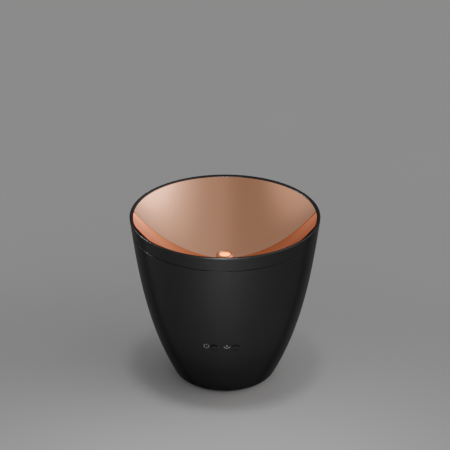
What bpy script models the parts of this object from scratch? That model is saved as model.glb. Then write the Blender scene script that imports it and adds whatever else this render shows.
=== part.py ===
"""Ultrasonic essential oil diffuser, built the way it comes apart on a bench.

A dish-topped lid lifts off a water tank.  Below the tank sit the ultrasonic disc,
the light ring, the fan with its air duct, and the circuit board, and a base plate
on rubber feet closes the tapered outer shell.  The origin is the centre of the
base on the table, +Z is up and the two buttons face -Y.  Lengths are in metres.
"""
import math

import bmesh
import bpy
from mathutils import Matrix, Vector

# Outside shape
RIM_RADIUS = 0.0710
RIM_HEIGHT = 0.1310
BASE_RADIUS = 0.03788
BASE_LEAN = math.radians(27.3)
BASE_HANDLE = 0.0466
RIM_LEAN = math.radians(6.7)
RIM_HANDLE = 0.0481
BASE_GAP = 0.0008
SEAM_TOP = 0.12005
SEAM_BOTTOM = 0.11965
SHELL_WALL = 0.0024
BASE_FILLET = 0.0022
SHELL_SIDE_BOTTOM = 0.0070
SHELL_INSIDE_BOTTOM = 0.0090
SHELL_INSIDE_TOP = 0.1060

# Running and resting gaps, how far a cutter runs past what it cuts, and
# how far a joined shape reaches into its neighbour
GAP = 0.0003
THROUGH = 0.0020
OVERLAP = 0.0005

# Lid
BOWL_EDGE = Vector((0.06820, 0.1301))
BOWL_EDGE_SLOPE = math.radians(52.9)
BOWL_EDGE_HANDLE = 0.0149
BOWL_MOUTH = Vector((0.0070, 0.0944))
BOWL_MOUTH_SLOPE = math.radians(9.4)
BOWL_MOUTH_HANDLE = 0.0339
BOWL_THICKNESS = 0.0010
RIM_CHAMFER = 0.0008
RIM_SOFTENING = 0.0001
RIM_SHOULDER = 0.0020
LIP_FOOT_DROP = 0.0047
LIP_SHOULDER_DROP = 0.0023
LIP_BEVEL = 0.0009
DISH_THICKNESS = 0.0014
DISH_RADIUS = 0.0662
DISH_SEAT = 0.1203
SKIRT_OUTER = 0.0663
SKIRT_INNER = 0.0646
SKIRT_BOTTOM = 0.1174
OUTLET_BORE = 0.0040
OUTLET_RADIUS = 0.0066
OUTLET_TOP = 0.0986
OUTLET_LIP_DROP = 0.0026
OUTLET_SHOULDER_DROP = 0.0016
OUTLET_ROUND_DROP = 0.0005
OUTLET_FOOT_RISE = 0.0010
SPIGOT_OUTER = 0.0084
SPIGOT_BOTTOM = 0.0880

# Tank
TANK_FLANGE_RADIUS = 0.0665
TANK_FLANGE_TOP = 0.1170
TANK_FLANGE_BOTTOM = 0.1150
TANK_MOUTH_RADIUS = 0.0614
TANK_WALL = 0.0018
TANK_FLOOR_UNDERSIDE = 0.0530
TANK_FLOOR_TOP = 0.0570
TANK_WELL_RADIUS = 0.0080
TANK_WELL_SLOPE_RUN = 0.0050
TANK_WELL_LIP_RISE = 0.0012
TANK_WELL_SLOPE_RISE = 0.0024
TANK_FLOOR_RADIUS = 0.0350
TANK_FLOOR_UNDER_RADIUS = 0.0360
TANK_KNUCKLE = Vector((0.0385, 0.0605))
TANK_KNUCKLE_RISE = 0.0028
TANK_BEND = Vector((0.0540, 0.0760))
TANK_SIDE_TOP = 0.1040
TANK_MOUTH_LEAN = 0.0006
LEDGE_RADIUS = 0.0642
LEDGE_TOP = 0.1147
LEDGE_THICKNESS = 0.0025
FLANGE_CLEARANCE = 0.0004
TOWER_CENTRE_Y = 0.0255
TOWER_WIDTH = 0.0140
TOWER_DEPTH = 0.0090
TOWER_WALL = 0.0015
TOWER_TOP = 0.0880
FRAME_RADIUS = 0.0356
FRAME_HOLE = 0.0126
FRAME_THICKNESS = 0.0014

# Base plate, feet and main fasteners
PLATE_RADIUS = 0.0353
PLATE_TOP = 0.0032
PLATE_LEDGE_RADIUS = 0.0344
PLATE_LEDGE_TOP = 0.0053
PLATE_CLEARANCE = 0.00045
SCREW_BOSS_RADIUS = 0.0042
SCREW_BOSS_TOP = 0.0050
SCREW_WELL_RADIUS = 0.0031
SCREW_WELL_TOP = 0.0030
SCREW_HOLE_RADIUS = 0.0016
FAN_PAD_RADIUS = 0.0026
FAN_WELL_RADIUS = 0.0028
FAN_WELL_TOP = 0.0022
FAN_HOLE_RADIUS = 0.0014
INSIDE_PLATE = 0.0020
ABOVE_PLATE = 0.0060
FOOT_RADIUS = 0.0040
FOOT_HEIGHT = 0.0014
FOOT_CIRCLE = 0.0300
BASE_POSTS = ((0.0255, 0.0130), (-0.0255, 0.0130), (0.0, -0.0295))
POST_RADIUS = 0.0026
BOARD_POSTS = ((0.0240, -0.0230), (-0.0240, -0.0230))

# Fan and duct
FAN_CENTRE = Vector((0.0, 0.0070))
FAN_SIZE = 0.0400
FAN_BOTTOM = 0.0052
FAN_HEIGHT = 0.0100
FAN_DUCT_RADIUS = 0.0188
FAN_BLADES = 7
BLADE_PITCH = math.radians(48)
BLADE_ROOT = 0.0075
BLADE_TIP = 0.0180
BLADE_HALF_THICKNESS = 0.00045
BLADE_HALF_WIDTH = 0.0035
STRUT_ROOT = 0.0060
STRUT_TIP = 0.0196
STRUT_HALF_WIDTH = 0.0010
STRUT_HEIGHT = 0.0014
FAN_HOLE_OFFSET = 0.0160
HUB_RADIUS = 0.0088

# Ultrasonic disc and its clamp
DISC_RADIUS = 0.0100
DISC_BOTTOM = 0.0506
DISC_THICKNESS = 0.0008
RETAINER_BOTTOM = 0.0479
RETAINER_RADIUS = 0.0172
RETAINER_SCREW_CIRCLE = 0.0148
RETAINER_SCREW_ANGLES = (30, 150, 270)

# Light ring
LIGHT_BOARD_BOTTOM = 0.0470
LIGHT_BOARD_INNER = 0.0180
LIGHT_BOARD_OUTER = 0.0250
LIGHT_CIRCLE = 0.0215
LIGHT_ANGLES = (-140, -90, -40)

# Circuit board
BOARD_BOTTOM = 0.0240
BOARD_THICKNESS = 0.0016
BOARD_WIDTH = 0.0560
BOARD_REAR = -0.0130
BOARD_FRONT = -0.0330

# Buttons
BUTTON_X = 0.0078
BUTTON_Z = 0.0496
BUTTON_RADIUS = 0.00285
BUTTON_HOLE_RADIUS = 0.00297
BUTTON_RECESS = 0.0001
BUTTON_BLANK_Y = -0.0600
BUTTON_FLANGE_FRONT = -0.0524
BUTTON_FLANGE_BACK = -0.0514
BUTTON_FLANGE_RADIUS = 0.0039
BUTTON_STEM_RADIUS = 0.0020
BUTTON_STEM_END = -0.0484
BUTTON_TRAVEL = 0.0005
FACING_HEIGHTS = (0.045, 0.047, 0.049, 0.051, 0.054)
FACING_OUTER_RADIUS = 0.0800
SCOOP_RADIUS = 0.0013
SCOOP_RISE = 0.0004
SCOOP_HALF_LENGTH = 0.0040
SWITCH_HALF = 0.0030
SWITCH_FRONT = -0.04695
SWITCH_BACK = -0.04355
PLUNGER_RADIUS = 0.0017
PLUNGER_CLEARANCE = 0.00005
GUIDE_HALF_WIDTH = 0.0150
GUIDE_HALF_HEIGHT = 0.0050
GUIDE_FRONT = -0.0506
GUIDE_BACK = -0.0490
GUIDE_BORE_RADIUS = 0.0023
BUTTON_BOARD_FRONT = -0.04325
BUTTON_BOARD_BACK = -0.04185
PEG_X = 0.0135
PEG_END = -0.0410
PEG_RADIUS = 0.0010
PEG_HOLE_RADIUS = 0.0013

# Power socket
JACK_Z = 0.0140
JACK_FACE_Y = 0.0422
JACK_HOLE_RADIUS = 0.0044
SOCKET_HOLE_FRONT = 0.0340
SOCKET_HOLE_REAR = 0.0500
JACK_HALF_WIDTH = 0.0045
JACK_HALF_HEIGHT = 0.0050
JACK_FRONT = 0.0282
JACK_REAR = 0.0386
JACK_NOSE_RADIUS = 0.0039
JACK_BORE_RADIUS = 0.0029
JACK_BORE_END = 0.0330
JACK_PIN_RADIUS = 0.0010
JACK_PIN_INSET = 0.0008
CRADLE_HALF_WIDTH = 0.0050
CRADLE_FRONT = 0.0285
CRADLE_REAR = 0.0335
CRADLE_BOTTOM = 0.0025

BIG_STEPS = 40
SMALL_STEPS = 20

PARTS = None
CUTTERS = None


def clear_scene():
    for item in list(bpy.data.objects):
        bpy.data.objects.remove(item, do_unlink=True)


def new_collection(name):
    collection = bpy.data.collections.new(name)
    bpy.context.scene.collection.children.link(collection)
    return collection


def material(name, colour, roughness, metallic=0.0):
    """Return the named Principled material, made on first use."""
    found = bpy.data.materials.get(name)
    if found:
        return found
    made = bpy.data.materials.new(name)
    made.use_nodes = True
    shader = made.node_tree.nodes["Principled BSDF"]
    shader.inputs["Base Color"].default_value = (*colour, 1.0)
    shader.inputs["Roughness"].default_value = roughness
    shader.inputs["Metallic"].default_value = metallic
    made.diffuse_color = (*colour, 1.0)
    return made


def satin_black():
    return material("satin_black_plastic", (0.030, 0.029, 0.030), 0.38)


def copper():
    return material("copper_plate", (0.83, 0.44, 0.31), 0.12, 1.0)


def frosted_plastic():
    return material("frosted_plastic", (0.78, 0.80, 0.80), 0.45)


def inner_plastic():
    return material("grey_plastic", (0.30, 0.31, 0.32), 0.50)


def black_rubber():
    return material("black_rubber", (0.020, 0.020, 0.022), 0.80)


def silicone():
    return material("clear_silicone", (0.70, 0.70, 0.68), 0.60)


def steel():
    return material("zinc_steel", (0.60, 0.60, 0.58), 0.30, 1.0)


def board_green():
    return material("board_green", (0.020, 0.16, 0.07), 0.45)


def nylon_white():
    return material("nylon_white", (0.75, 0.73, 0.66), 0.50)


def put_mesh(name, mesh, finish, as_cutter=False):
    """Make an object from a mesh, in the collection that it belongs to."""
    item = bpy.data.objects.new(name, mesh)
    if as_cutter:
        CUTTERS.objects.link(item)
        item.hide_render = True
        item.display_type = "WIRE"
        return item
    PARTS.objects.link(item)
    mesh.materials.append(finish)
    return item


def smooth(mesh):
    mesh.shade_smooth()
    mesh.set_sharp_from_angle(angle=math.radians(35))


def turned(name, profile, finish=None, steps=BIG_STEPS, as_cutter=False, closed=True):
    """Turn (radius, height) points about Z; they run down the outer side first."""
    mesh = bpy.data.meshes.new(name)
    points = [(point[0], 0.0, point[1]) for point in profile]
    edges = [(index, index + 1) for index in range(len(points) - 1)]
    if closed:
        edges.append((len(points) - 1, 0))
    mesh.from_pydata(points, edges, [])
    item = put_mesh(name, mesh, finish, as_cutter)
    screw = item.modifiers.new("turn", "SCREW")
    screw.steps = steps
    screw.render_steps = steps
    screw.use_merge_vertices = True
    screw.merge_threshold = 0.00001
    screw.use_smooth_shade = True
    return item


def box(name, low, high, finish=None, as_cutter=False, corner=0.0):
    """Make a box between two corners, with rounded upright edges if asked."""
    low = Vector(low)
    high = Vector(high)
    shape = bmesh.new()
    bmesh.ops.create_cube(shape, size=1.0)
    bmesh.ops.scale(shape, vec=high - low, verts=shape.verts)
    if corner > 0.0:
        upright = [edge for edge in shape.edges if is_upright(edge)]
        bmesh.ops.bevel(shape, geom=upright, offset=corner, segments=2, profile=0.5, affect="EDGES")
    mesh = bpy.data.meshes.new(name)
    shape.to_mesh(mesh)
    shape.free()
    smooth(mesh)
    item = put_mesh(name, mesh, finish, as_cutter)
    item.location = (low + high) / 2.0
    return item


def is_upright(edge):
    run = edge.verts[0].co - edge.verts[1].co
    return abs(run.z) > 0.9 * run.length


def rod(name, start, end, radius, finish=None, as_cutter=False, steps=SMALL_STEPS):
    """Make a round bar between two points."""
    start = Vector(start)
    end = Vector(end)
    shape = bmesh.new()
    bmesh.ops.create_cone(
        shape,
        cap_ends=True,
        segments=steps,
        radius1=radius,
        radius2=radius,
        depth=(end - start).length,
    )
    mesh = bpy.data.meshes.new(name)
    shape.to_mesh(mesh)
    shape.free()
    smooth(mesh)
    item = put_mesh(name, mesh, finish, as_cutter)
    item.location = (start + end) / 2.0
    item.rotation_euler = (end - start).to_track_quat("Z", "Y").to_euler()
    return item


def boolean(item, other, operation):
    step = item.modifiers.new(operation.lower(), "BOOLEAN")
    step.operation = operation
    step.object = other
    step.solver = "EXACT"


def cut_away(item, *cutters):
    for cutter in cutters:
        boolean(item, cutter, "DIFFERENCE")


def join_on(item, *additions):
    for addition in additions:
        boolean(item, addition, "UNION")


def curve_point(points, at):
    """Give the point of a Bezier curve of any order (de Casteljau)."""
    level = [Vector(point) for point in points]
    while len(level) > 1:
        level = [a.lerp(b, at) for a, b in zip(level, level[1:])]
    return level[0]


def curve_points(points, count):
    return [curve_point(points, index / (count - 1)) for index in range(count)]


def outside_curve():
    """The outside of the body as Bezier points, from the base to the rim."""
    base = Vector((BASE_RADIUS, 0.0))
    rim = Vector((RIM_RADIUS, RIM_HEIGHT))
    lower = base + BASE_HANDLE * Vector((math.sin(BASE_LEAN), math.cos(BASE_LEAN)))
    upper = rim - RIM_HANDLE * Vector((math.sin(RIM_LEAN), math.cos(RIM_LEAN)))
    return (base, lower, upper, rim)


def outside_radius(height):
    """Radius of the outside at a height, by halving the curve's range."""
    low = 0.0
    high = 1.0
    for _ in range(40):
        middle = (low + high) / 2.0
        if curve_point(outside_curve(), middle).y < height:
            low = middle
        else:
            high = middle
    return curve_point(outside_curve(), low).x


def outside_points(top, bottom, count):
    heights = [top + (bottom - top) * index / (count - 1) for index in range(count)]
    return [(outside_radius(height), height) for height in heights]


def inside_points(bottom, top, count):
    """Points on the inner face of the shell, one wall thickness in."""
    step = 0.0005
    points = []
    for index in range(count):
        height = bottom + (top - bottom) * index / (count - 1)
        slope = (outside_radius(height + step) - outside_radius(height - step)) / (2.0 * step)
        points.append((outside_radius(height) - SHELL_WALL * math.hypot(1.0, slope), height))
    return points


def bowl_curve():
    edge_run = Vector((math.cos(BOWL_EDGE_SLOPE), math.sin(BOWL_EDGE_SLOPE)))
    mouth_run = Vector((math.cos(BOWL_MOUTH_SLOPE), math.sin(BOWL_MOUTH_SLOPE)))
    return (
        BOWL_EDGE,
        BOWL_EDGE - BOWL_EDGE_HANDLE * edge_run,
        BOWL_MOUTH + BOWL_MOUTH_HANDLE * mouth_run,
        BOWL_MOUTH,
    )


def below_bowl(depth, count):
    """Points at a depth under the bowl's mirror face, from its edge to its mouth."""
    step = 0.001
    points = []
    for index in range(count):
        at = index / (count - 1)
        before = curve_point(bowl_curve(), max(0.0, at - step))
        after = curve_point(bowl_curve(), min(1.0, at + step))
        run = (after - before).normalized()
        points.append(curve_point(bowl_curve(), at) + depth * Vector((-run.y, run.x)))
    return points


def dish_points(depth, outer, inner, count):
    """Points of that under-surface at even radii, from an outer to an inner one."""
    fine = below_bowl(depth, 400)
    points = []
    for index in range(count):
        radius = outer + (inner - outer) * index / (count - 1)
        nearest = min(fine, key=lambda point: abs(point.x - radius))
        points.append((radius, nearest.y))
    return points


def tuples(points):
    return [(point[0], point[1]) for point in points]


def around(radius, degrees, height=0.0):
    angle = math.radians(degrees)
    return Vector((radius * math.cos(angle), radius * math.sin(angle), height))


def screw(name, at, head_radius, head_height, shank_radius, shank_length):
    """A cross-head screw driven upwards; 'at' is the centre of its head's flat."""
    at = Vector(at)
    head_top = at + Vector((0.0, 0.0, head_height))
    tip = head_top + Vector((0.0, 0.0, shank_length))
    item = rod(name, at, head_top, head_radius, steel(), steps=16)
    shank = rod(name + "_shank", at + Vector((0.0, 0.0, head_height / 2.0)), tip, shank_radius,
                as_cutter=True, steps=12)
    join_on(item, shank)
    arm = head_radius * 0.62
    half = head_radius * 0.15
    deep = head_height * 0.6
    for label, reach in (("x", (arm, half)), ("y", (half, arm))):
        slot = box(
            name + "_recess_" + label,
            at - Vector((reach[0], reach[1], deep)),
            at + Vector((reach[0], reach[1], deep)),
            as_cutter=True,
        )
        cut_away(item, slot)
    return item


# ---------------------------------------------------------------- lid


def make_lid_band():
    """Rounded rim, outer band and the skirt that drops inside the shell."""
    rim_round = [
        (RIM_RADIUS - 2.0 * RIM_CHAMFER, RIM_HEIGHT),
        (RIM_RADIUS - RIM_CHAMFER, RIM_HEIGHT - RIM_SOFTENING),
        (outside_radius(RIM_HEIGHT - RIM_CHAMFER), RIM_HEIGHT - RIM_CHAMFER),
    ]
    band = outside_points(RIM_HEIGHT - RIM_SHOULDER, SEAM_TOP, 3)
    skirt = [
        (SKIRT_OUTER, SEAM_TOP),
        (SKIRT_OUTER, SKIRT_BOTTOM),
        (SKIRT_INNER, SKIRT_BOTTOM),
        (SKIRT_INNER, DISH_SEAT),
        (DISH_RADIUS + GAP, DISH_SEAT),
    ]
    lip = [
        (DISH_RADIUS + GAP, BOWL_EDGE.y - LIP_FOOT_DROP),
        (BOWL_EDGE.x + GAP, BOWL_EDGE.y - LIP_SHOULDER_DROP),
        (BOWL_EDGE.x + GAP, BOWL_EDGE.y),
        (BOWL_EDGE.x + LIP_BEVEL, RIM_HEIGHT - RIM_SOFTENING),
    ]
    return turned("lid_band", rim_round + band + skirt + lip, satin_black())


def make_lid_dish():
    """Dish that backs the bowl, with the spigot for the mist chimney."""
    seat = BOWL_THICKNESS + GAP
    foot = [
        (DISH_RADIUS, DISH_SEAT + GAP),
        (SKIRT_INNER, DISH_SEAT + GAP),
    ]
    under = dish_points(seat + DISH_THICKNESS, SKIRT_INNER - 0.0008, SPIGOT_OUTER, 8)
    spigot = [
        (SPIGOT_OUTER, SPIGOT_BOTTOM),
        (OUTLET_RADIUS + GAP, SPIGOT_BOTTOM),
    ]
    over = dish_points(seat, OUTLET_RADIUS + GAP, DISH_RADIUS, 9)
    return turned("lid_dish", foot + under + spigot + over, satin_black())


def make_reflector_bowl():
    upper = list(reversed(curve_points(bowl_curve(), 11)))
    lower = below_bowl(BOWL_THICKNESS, 11)
    lower[0] = Vector((BOWL_EDGE.x, BOWL_EDGE.y - BOWL_THICKNESS / math.cos(BOWL_EDGE_SLOPE)))
    lower[-1] = Vector((BOWL_MOUTH.x, BOWL_MOUTH.y - BOWL_THICKNESS))
    return turned("reflector_bowl", tuples(lower) + tuples(upper), copper())


def make_outlet_collar():
    """Round-topped mouthpiece that the mist leaves through."""
    half_lip = (OUTLET_RADIUS - OUTLET_BORE) / 2.0
    inset = 0.0004
    foot = SPIGOT_BOTTOM + OUTLET_FOOT_RISE
    outer = [
        (OUTLET_RADIUS - half_lip, OUTLET_TOP),
        (OUTLET_RADIUS - inset, OUTLET_TOP - OUTLET_ROUND_DROP),
        (OUTLET_RADIUS, OUTLET_TOP - OUTLET_SHOULDER_DROP),
        (OUTLET_RADIUS, foot),
    ]
    inner = [
        (OUTLET_BORE, foot),
        (OUTLET_BORE, OUTLET_TOP - OUTLET_LIP_DROP),
        (OUTLET_BORE + inset, OUTLET_TOP - OUTLET_ROUND_DROP),
    ]
    return turned("outlet_collar", outer + inner, copper(), steps=SMALL_STEPS)


def make_mist_chimney():
    """Flared tube on the lid's spigot that gathers the mist over the disc."""
    top = 0.0911
    bottom = 0.0815
    neck = SPIGOT_OUTER + GAP
    flare = 0.0140
    wall = 0.0014
    outer = [(neck + wall, top), (neck + wall, SPIGOT_BOTTOM), (flare + wall, bottom)]
    inner = [(flare, bottom), (neck, SPIGOT_BOTTOM), (neck, top)]
    return turned("mist_chimney", outer + inner, frosted_plastic(), steps=SMALL_STEPS)


def make_lid_seal():
    outer = SKIRT_INNER - GAP
    inner = 0.0622
    top = SKIRT_BOTTOM + 0.0007
    bottom = TANK_FLANGE_TOP + GAP
    ring = [(outer, top), (outer, bottom), (inner, bottom), (inner, top)]
    return turned("lid_seal", ring, silicone())


# ---------------------------------------------------------------- housing


def make_outer_shell():
    """Tapered outer shell, with a ledge for the tank above and for the plate below."""
    fillet_top = BASE_GAP + BASE_FILLET
    corner = (outside_radius(BASE_GAP), BASE_GAP)
    fillet = curve_points(
        (
            (outside_radius(fillet_top), fillet_top),
            corner,
            (corner[0] - BASE_FILLET, BASE_GAP),
        ),
        4,
    )
    throat = PLATE_RADIUS + PLATE_CLEARANCE
    recess = TANK_FLANGE_RADIUS + FLANGE_CLEARANCE
    foot_ledge = [
        (throat, BASE_GAP),
        (throat, PLATE_TOP + GAP),
        (PLATE_LEDGE_RADIUS, PLATE_TOP + GAP),
        (PLATE_LEDGE_RADIUS, PLATE_LEDGE_TOP),
    ]
    top_ledge = [
        (LEDGE_RADIUS, LEDGE_TOP - LEDGE_THICKNESS),
        (LEDGE_RADIUS, LEDGE_TOP),
        (recess, LEDGE_TOP),
        (recess, SEAM_BOTTOM),
    ]
    profile = (
        outside_points(SEAM_BOTTOM, SHELL_SIDE_BOTTOM, 9)
        + tuples(fillet)
        + foot_ledge
        + inside_points(SHELL_INSIDE_BOTTOM, SHELL_INSIDE_TOP, 6)
        + top_ledge
    )
    shell = turned("outer_shell", profile, satin_black())
    for side in (-1, 1):
        hole = rod(
            "button_hole",
            (side * BUTTON_X, BUTTON_BLANK_Y - THROUGH, BUTTON_Z),
            (side * BUTTON_X, BUTTON_STEM_END, BUTTON_Z),
            BUTTON_HOLE_RADIUS,
            as_cutter=True,
        )
        cut_away(shell, hole)
    socket = rod("socket_hole", (0, SOCKET_HOLE_FRONT, JACK_Z), (0, SOCKET_HOLE_REAR, JACK_Z),
                 JACK_HOLE_RADIUS, as_cutter=True)
    cut_away(shell, socket)
    return shell


def tank_wall_points(set_out, count):
    """The tank's side from its floor to its mouth, moved out by a distance."""
    shift = Vector((set_out, 0.0))
    high = Vector((TANK_MOUTH_RADIUS - TANK_MOUTH_LEAN, TANK_SIDE_TOP))
    return curve_points((TANK_KNUCKLE + shift, TANK_BEND + shift, high + shift), count)


def make_water_tank():
    outside = [
        (TANK_FLANGE_RADIUS, TANK_FLANGE_TOP),
        (TANK_FLANGE_RADIUS, TANK_FLANGE_BOTTOM),
        (TANK_MOUTH_RADIUS + TANK_WALL, TANK_FLANGE_BOTTOM),
    ]
    underside = [
        (TANK_KNUCKLE.x, TANK_FLOOR_UNDERSIDE + TANK_KNUCKLE_RISE),
        (TANK_FLOOR_UNDER_RADIUS, TANK_FLOOR_UNDERSIDE),
        (TANK_WELL_RADIUS, TANK_FLOOR_UNDERSIDE),
    ]
    floor = [
        (TANK_WELL_RADIUS, TANK_FLOOR_UNDERSIDE + TANK_WELL_LIP_RISE),
        (TANK_WELL_RADIUS + TANK_WELL_SLOPE_RUN, TANK_FLOOR_UNDERSIDE + TANK_WELL_SLOPE_RISE),
        (TANK_FLOOR_RADIUS, TANK_FLOOR_TOP),
    ]
    profile = (
        outside
        + tuples(reversed(tank_wall_points(TANK_WALL, 5)))
        + underside
        + floor
        + tuples(tank_wall_points(0.0, 5))
        + [(TANK_MOUTH_RADIUS, TANK_FLANGE_TOP)]
    )
    tank = turned("water_tank", profile, frosted_plastic())
    opening = tower_box("tower_opening", TOWER_WALL + GAP, TANK_FLOOR_UNDERSIDE - 0.005,
                        TANK_FLOOR_TOP + 0.005, as_cutter=True)
    cut_away(tank, opening)
    return tank


def tower_box(name, margin, bottom, top, finish=None, as_cutter=False):
    """A box around the tower's bore, wider than it by a margin on each side."""
    half_x = TOWER_WIDTH / 2.0 + margin
    half_y = TOWER_DEPTH / 2.0 + margin
    return box(name, (-half_x, TOWER_CENTRE_Y - half_y, bottom), (half_x, TOWER_CENTRE_Y + half_y, top),
               finish, as_cutter)


def make_air_tower():
    """Square tube, welded into the tank floor, that lets air in above the water."""
    tower = tower_box("air_tower", TOWER_WALL, TANK_FLOOR_UNDERSIDE, TOWER_TOP, frosted_plastic())
    flange = tower_box("tower_flange", TOWER_WALL + 0.0015, TANK_FLOOR_TOP + GAP,
                       TANK_FLOOR_TOP + 0.0014, as_cutter=True)
    hollow = tower_box("tower_hollow", 0.0, TANK_FLOOR_UNDERSIDE - 0.005, TOWER_TOP + 0.005,
                       as_cutter=True)
    join_on(tower, flange)
    cut_away(tower, hollow)
    return tower


def make_inner_frame():
    """Plate welded under the tank floor, with a screw post for each piece that it carries."""
    top = TANK_FLOOR_UNDERSIDE - GAP
    bottom = top - FRAME_THICKNESS
    profile = [(FRAME_RADIUS, top), (FRAME_RADIUS, bottom), (FRAME_HOLE, bottom), (FRAME_HOLE, top)]
    frame = turned("inner_frame", profile, inner_plastic())
    passage = tower_box("duct_passage", TOWER_WALL + 0.0013, bottom - 0.002, top + 0.002, as_cutter=True)
    cut_away(frame, passage)
    for angle in LIGHT_ANGLES:
        place = around(LIGHT_CIRCLE, angle)
        window = rod("lamp_window", place + Vector((0, 0, bottom - 0.002)),
                     place + Vector((0, 0, top + 0.002)), 0.0032, as_cutter=True, steps=16)
        cut_away(frame, window)
    add_frame_posts(frame, bottom)
    return frame


def add_frame_posts(frame, plate_bottom):
    """Each post has a pilot bore for its screw."""
    clamp_posts = [around(RETAINER_SCREW_CIRCLE, angle) for angle in RETAINER_SCREW_ANGLES]
    light_posts = [around(LIGHT_CIRCLE, angle) for angle in (0, 180)]
    rows = (
        (BASE_POSTS, 0.0053, POST_RADIUS, 0.0016, 0.012),
        (BOARD_POSTS, BOARD_BOTTOM + BOARD_THICKNESS + GAP, 0.0024, 0.0013, 0.008),
        (clamp_posts, RETAINER_BOTTOM + 0.0020, 0.0020, 0.0011, 0.0040),
        (light_posts, LIGHT_BOARD_BOTTOM + 0.0015, 0.0020, 0.0011, 0.0050),
    )
    for places, bottom, radius, bore, bore_depth in rows:
        for place in places:
            x, y = place[0], place[1]
            post = rod("post", (x, y, bottom), (x, y, plate_bottom + 0.0005), radius,
                       as_cutter=True, steps=16)
            pilot = rod("pilot", (x, y, bottom - 0.001), (x, y, bottom + bore_depth), bore,
                        as_cutter=True, steps=12)
            join_on(frame, post)
            cut_away(frame, pilot)


def foot_places():
    return [around(FOOT_CIRCLE, angle) for angle in (45, 135, 225, 315)]


def make_base_plate():
    """Bottom cover with air slots, foot recesses, screw wells and the jack's cradle."""
    profile = [(0.0, PLATE_TOP), (PLATE_RADIUS, PLATE_TOP), (PLATE_RADIUS, BASE_GAP), (0.0, BASE_GAP)]
    plate = turned("base_plate", profile, satin_black(), closed=False)
    for x, y in BASE_POSTS:
        boss = rod("screw_boss", (x, y, INSIDE_PLATE), (x, y, SCREW_BOSS_TOP), SCREW_BOSS_RADIUS,
                   as_cutter=True)
        well = rod("screw_well", (x, y, 0.0), (x, y, SCREW_WELL_TOP), SCREW_WELL_RADIUS,
                   as_cutter=True)
        hole = rod("screw_hole", (x, y, 0.0), (x, y, ABOVE_PLATE), SCREW_HOLE_RADIUS,
                   as_cutter=True, steps=12)
        join_on(plate, boss)
        cut_away(plate, well, hole)
    for side_x in (-1, 1):
        for side_y in (-1, 1):
            x = FAN_CENTRE.x + side_x * FAN_HOLE_OFFSET
            y = FAN_CENTRE.y + side_y * FAN_HOLE_OFFSET
            pad = rod("fan_pad", (x, y, INSIDE_PLATE), (x, y, FAN_BOTTOM - GAP), FAN_PAD_RADIUS,
                      as_cutter=True, steps=16)
            join_on(plate, pad)
    for place in fan_screw_places():
        well = rod("fan_screw_well", place, place + Vector((0, 0, FAN_WELL_TOP)), FAN_WELL_RADIUS,
                   as_cutter=True, steps=16)
        hole = rod("fan_screw_hole", place, place + Vector((0, 0, ABOVE_PLATE)), FAN_HOLE_RADIUS,
                   as_cutter=True, steps=12)
        cut_away(plate, well, hole)
    cradle = box("jack_cradle", (-CRADLE_HALF_WIDTH, CRADLE_FRONT, CRADLE_BOTTOM),
                 (CRADLE_HALF_WIDTH, CRADLE_REAR, JACK_Z - JACK_HALF_HEIGHT - GAP), as_cutter=True)
    join_on(plate, cradle)
    for place in foot_places():
        recess = rod("foot_recess", place, place + Vector((0, 0, FOOT_HEIGHT + GAP)),
                     FOOT_RADIUS + GAP, as_cutter=True)
        cut_away(plate, recess)
    cut_air_slots(plate)
    return plate


def cut_air_slots(plate):
    slot_half = 0.0012
    pitch = 0.0040
    reach = 0.0130
    for index in range(-3, 4):
        x = FAN_CENTRE.x + index * pitch
        half_length = math.sqrt(reach ** 2 - (index * pitch * 0.75) ** 2)
        slot = box(
            "air_slot",
            (x - slot_half, FAN_CENTRE.y - half_length, -0.0010),
            (x + slot_half, FAN_CENTRE.y + half_length, PLATE_TOP + 0.0010),
            as_cutter=True,
            corner=slot_half * 0.95,
        )
        cut_away(plate, slot)


def fan_screw_places():
    return [
        Vector((side * FAN_HOLE_OFFSET, FAN_CENTRE.y - FAN_HOLE_OFFSET, 0.0))
        for side in (-1, 1)
    ]


def make_feet():
    for index, place in enumerate(foot_places(), start=1):
        profile = [
            (0.0, FOOT_HEIGHT),
            (FOOT_RADIUS, FOOT_HEIGHT),
            (FOOT_RADIUS, 0.0005),
            (FOOT_RADIUS - 0.0005, 0.0),
            (0.0, 0.0),
        ]
        foot = turned(f"rubber_foot_{index}", profile, black_rubber(), steps=SMALL_STEPS, closed=False)
        foot.location = place


def make_base_screws():
    for index, (x, y) in enumerate(BASE_POSTS, start=1):
        screw(f"base_screw_{index}", (x, y, 0.0011), 0.0027, 0.0016, 0.0013, 0.0100)


# ---------------------------------------------------------------- ultrasonic disc


def make_transducer():
    disc_top = DISC_BOTTOM + DISC_THICKNESS
    rod("transducer_disc", (0, 0, DISC_BOTTOM), (0, 0, disc_top), DISC_RADIUS,
        material("piezo_steel", (0.72, 0.70, 0.64), 0.25, 1.0))
    outer = 0.0122
    lip = 0.0086
    groove = DISC_RADIUS + GAP
    seal = [
        (outer, TANK_FLOOR_UNDERSIDE - GAP),
        (outer, DISC_BOTTOM - 0.0007),
        (lip, DISC_BOTTOM - 0.0007),
        (lip, DISC_BOTTOM - GAP),
        (groove, DISC_BOTTOM - GAP),
        (groove, disc_top + GAP),
        (lip, disc_top + GAP),
        (lip, TANK_FLOOR_UNDERSIDE - GAP),
    ]
    turned("transducer_seal", seal, silicone(), steps=SMALL_STEPS)
    make_retainer()


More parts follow.
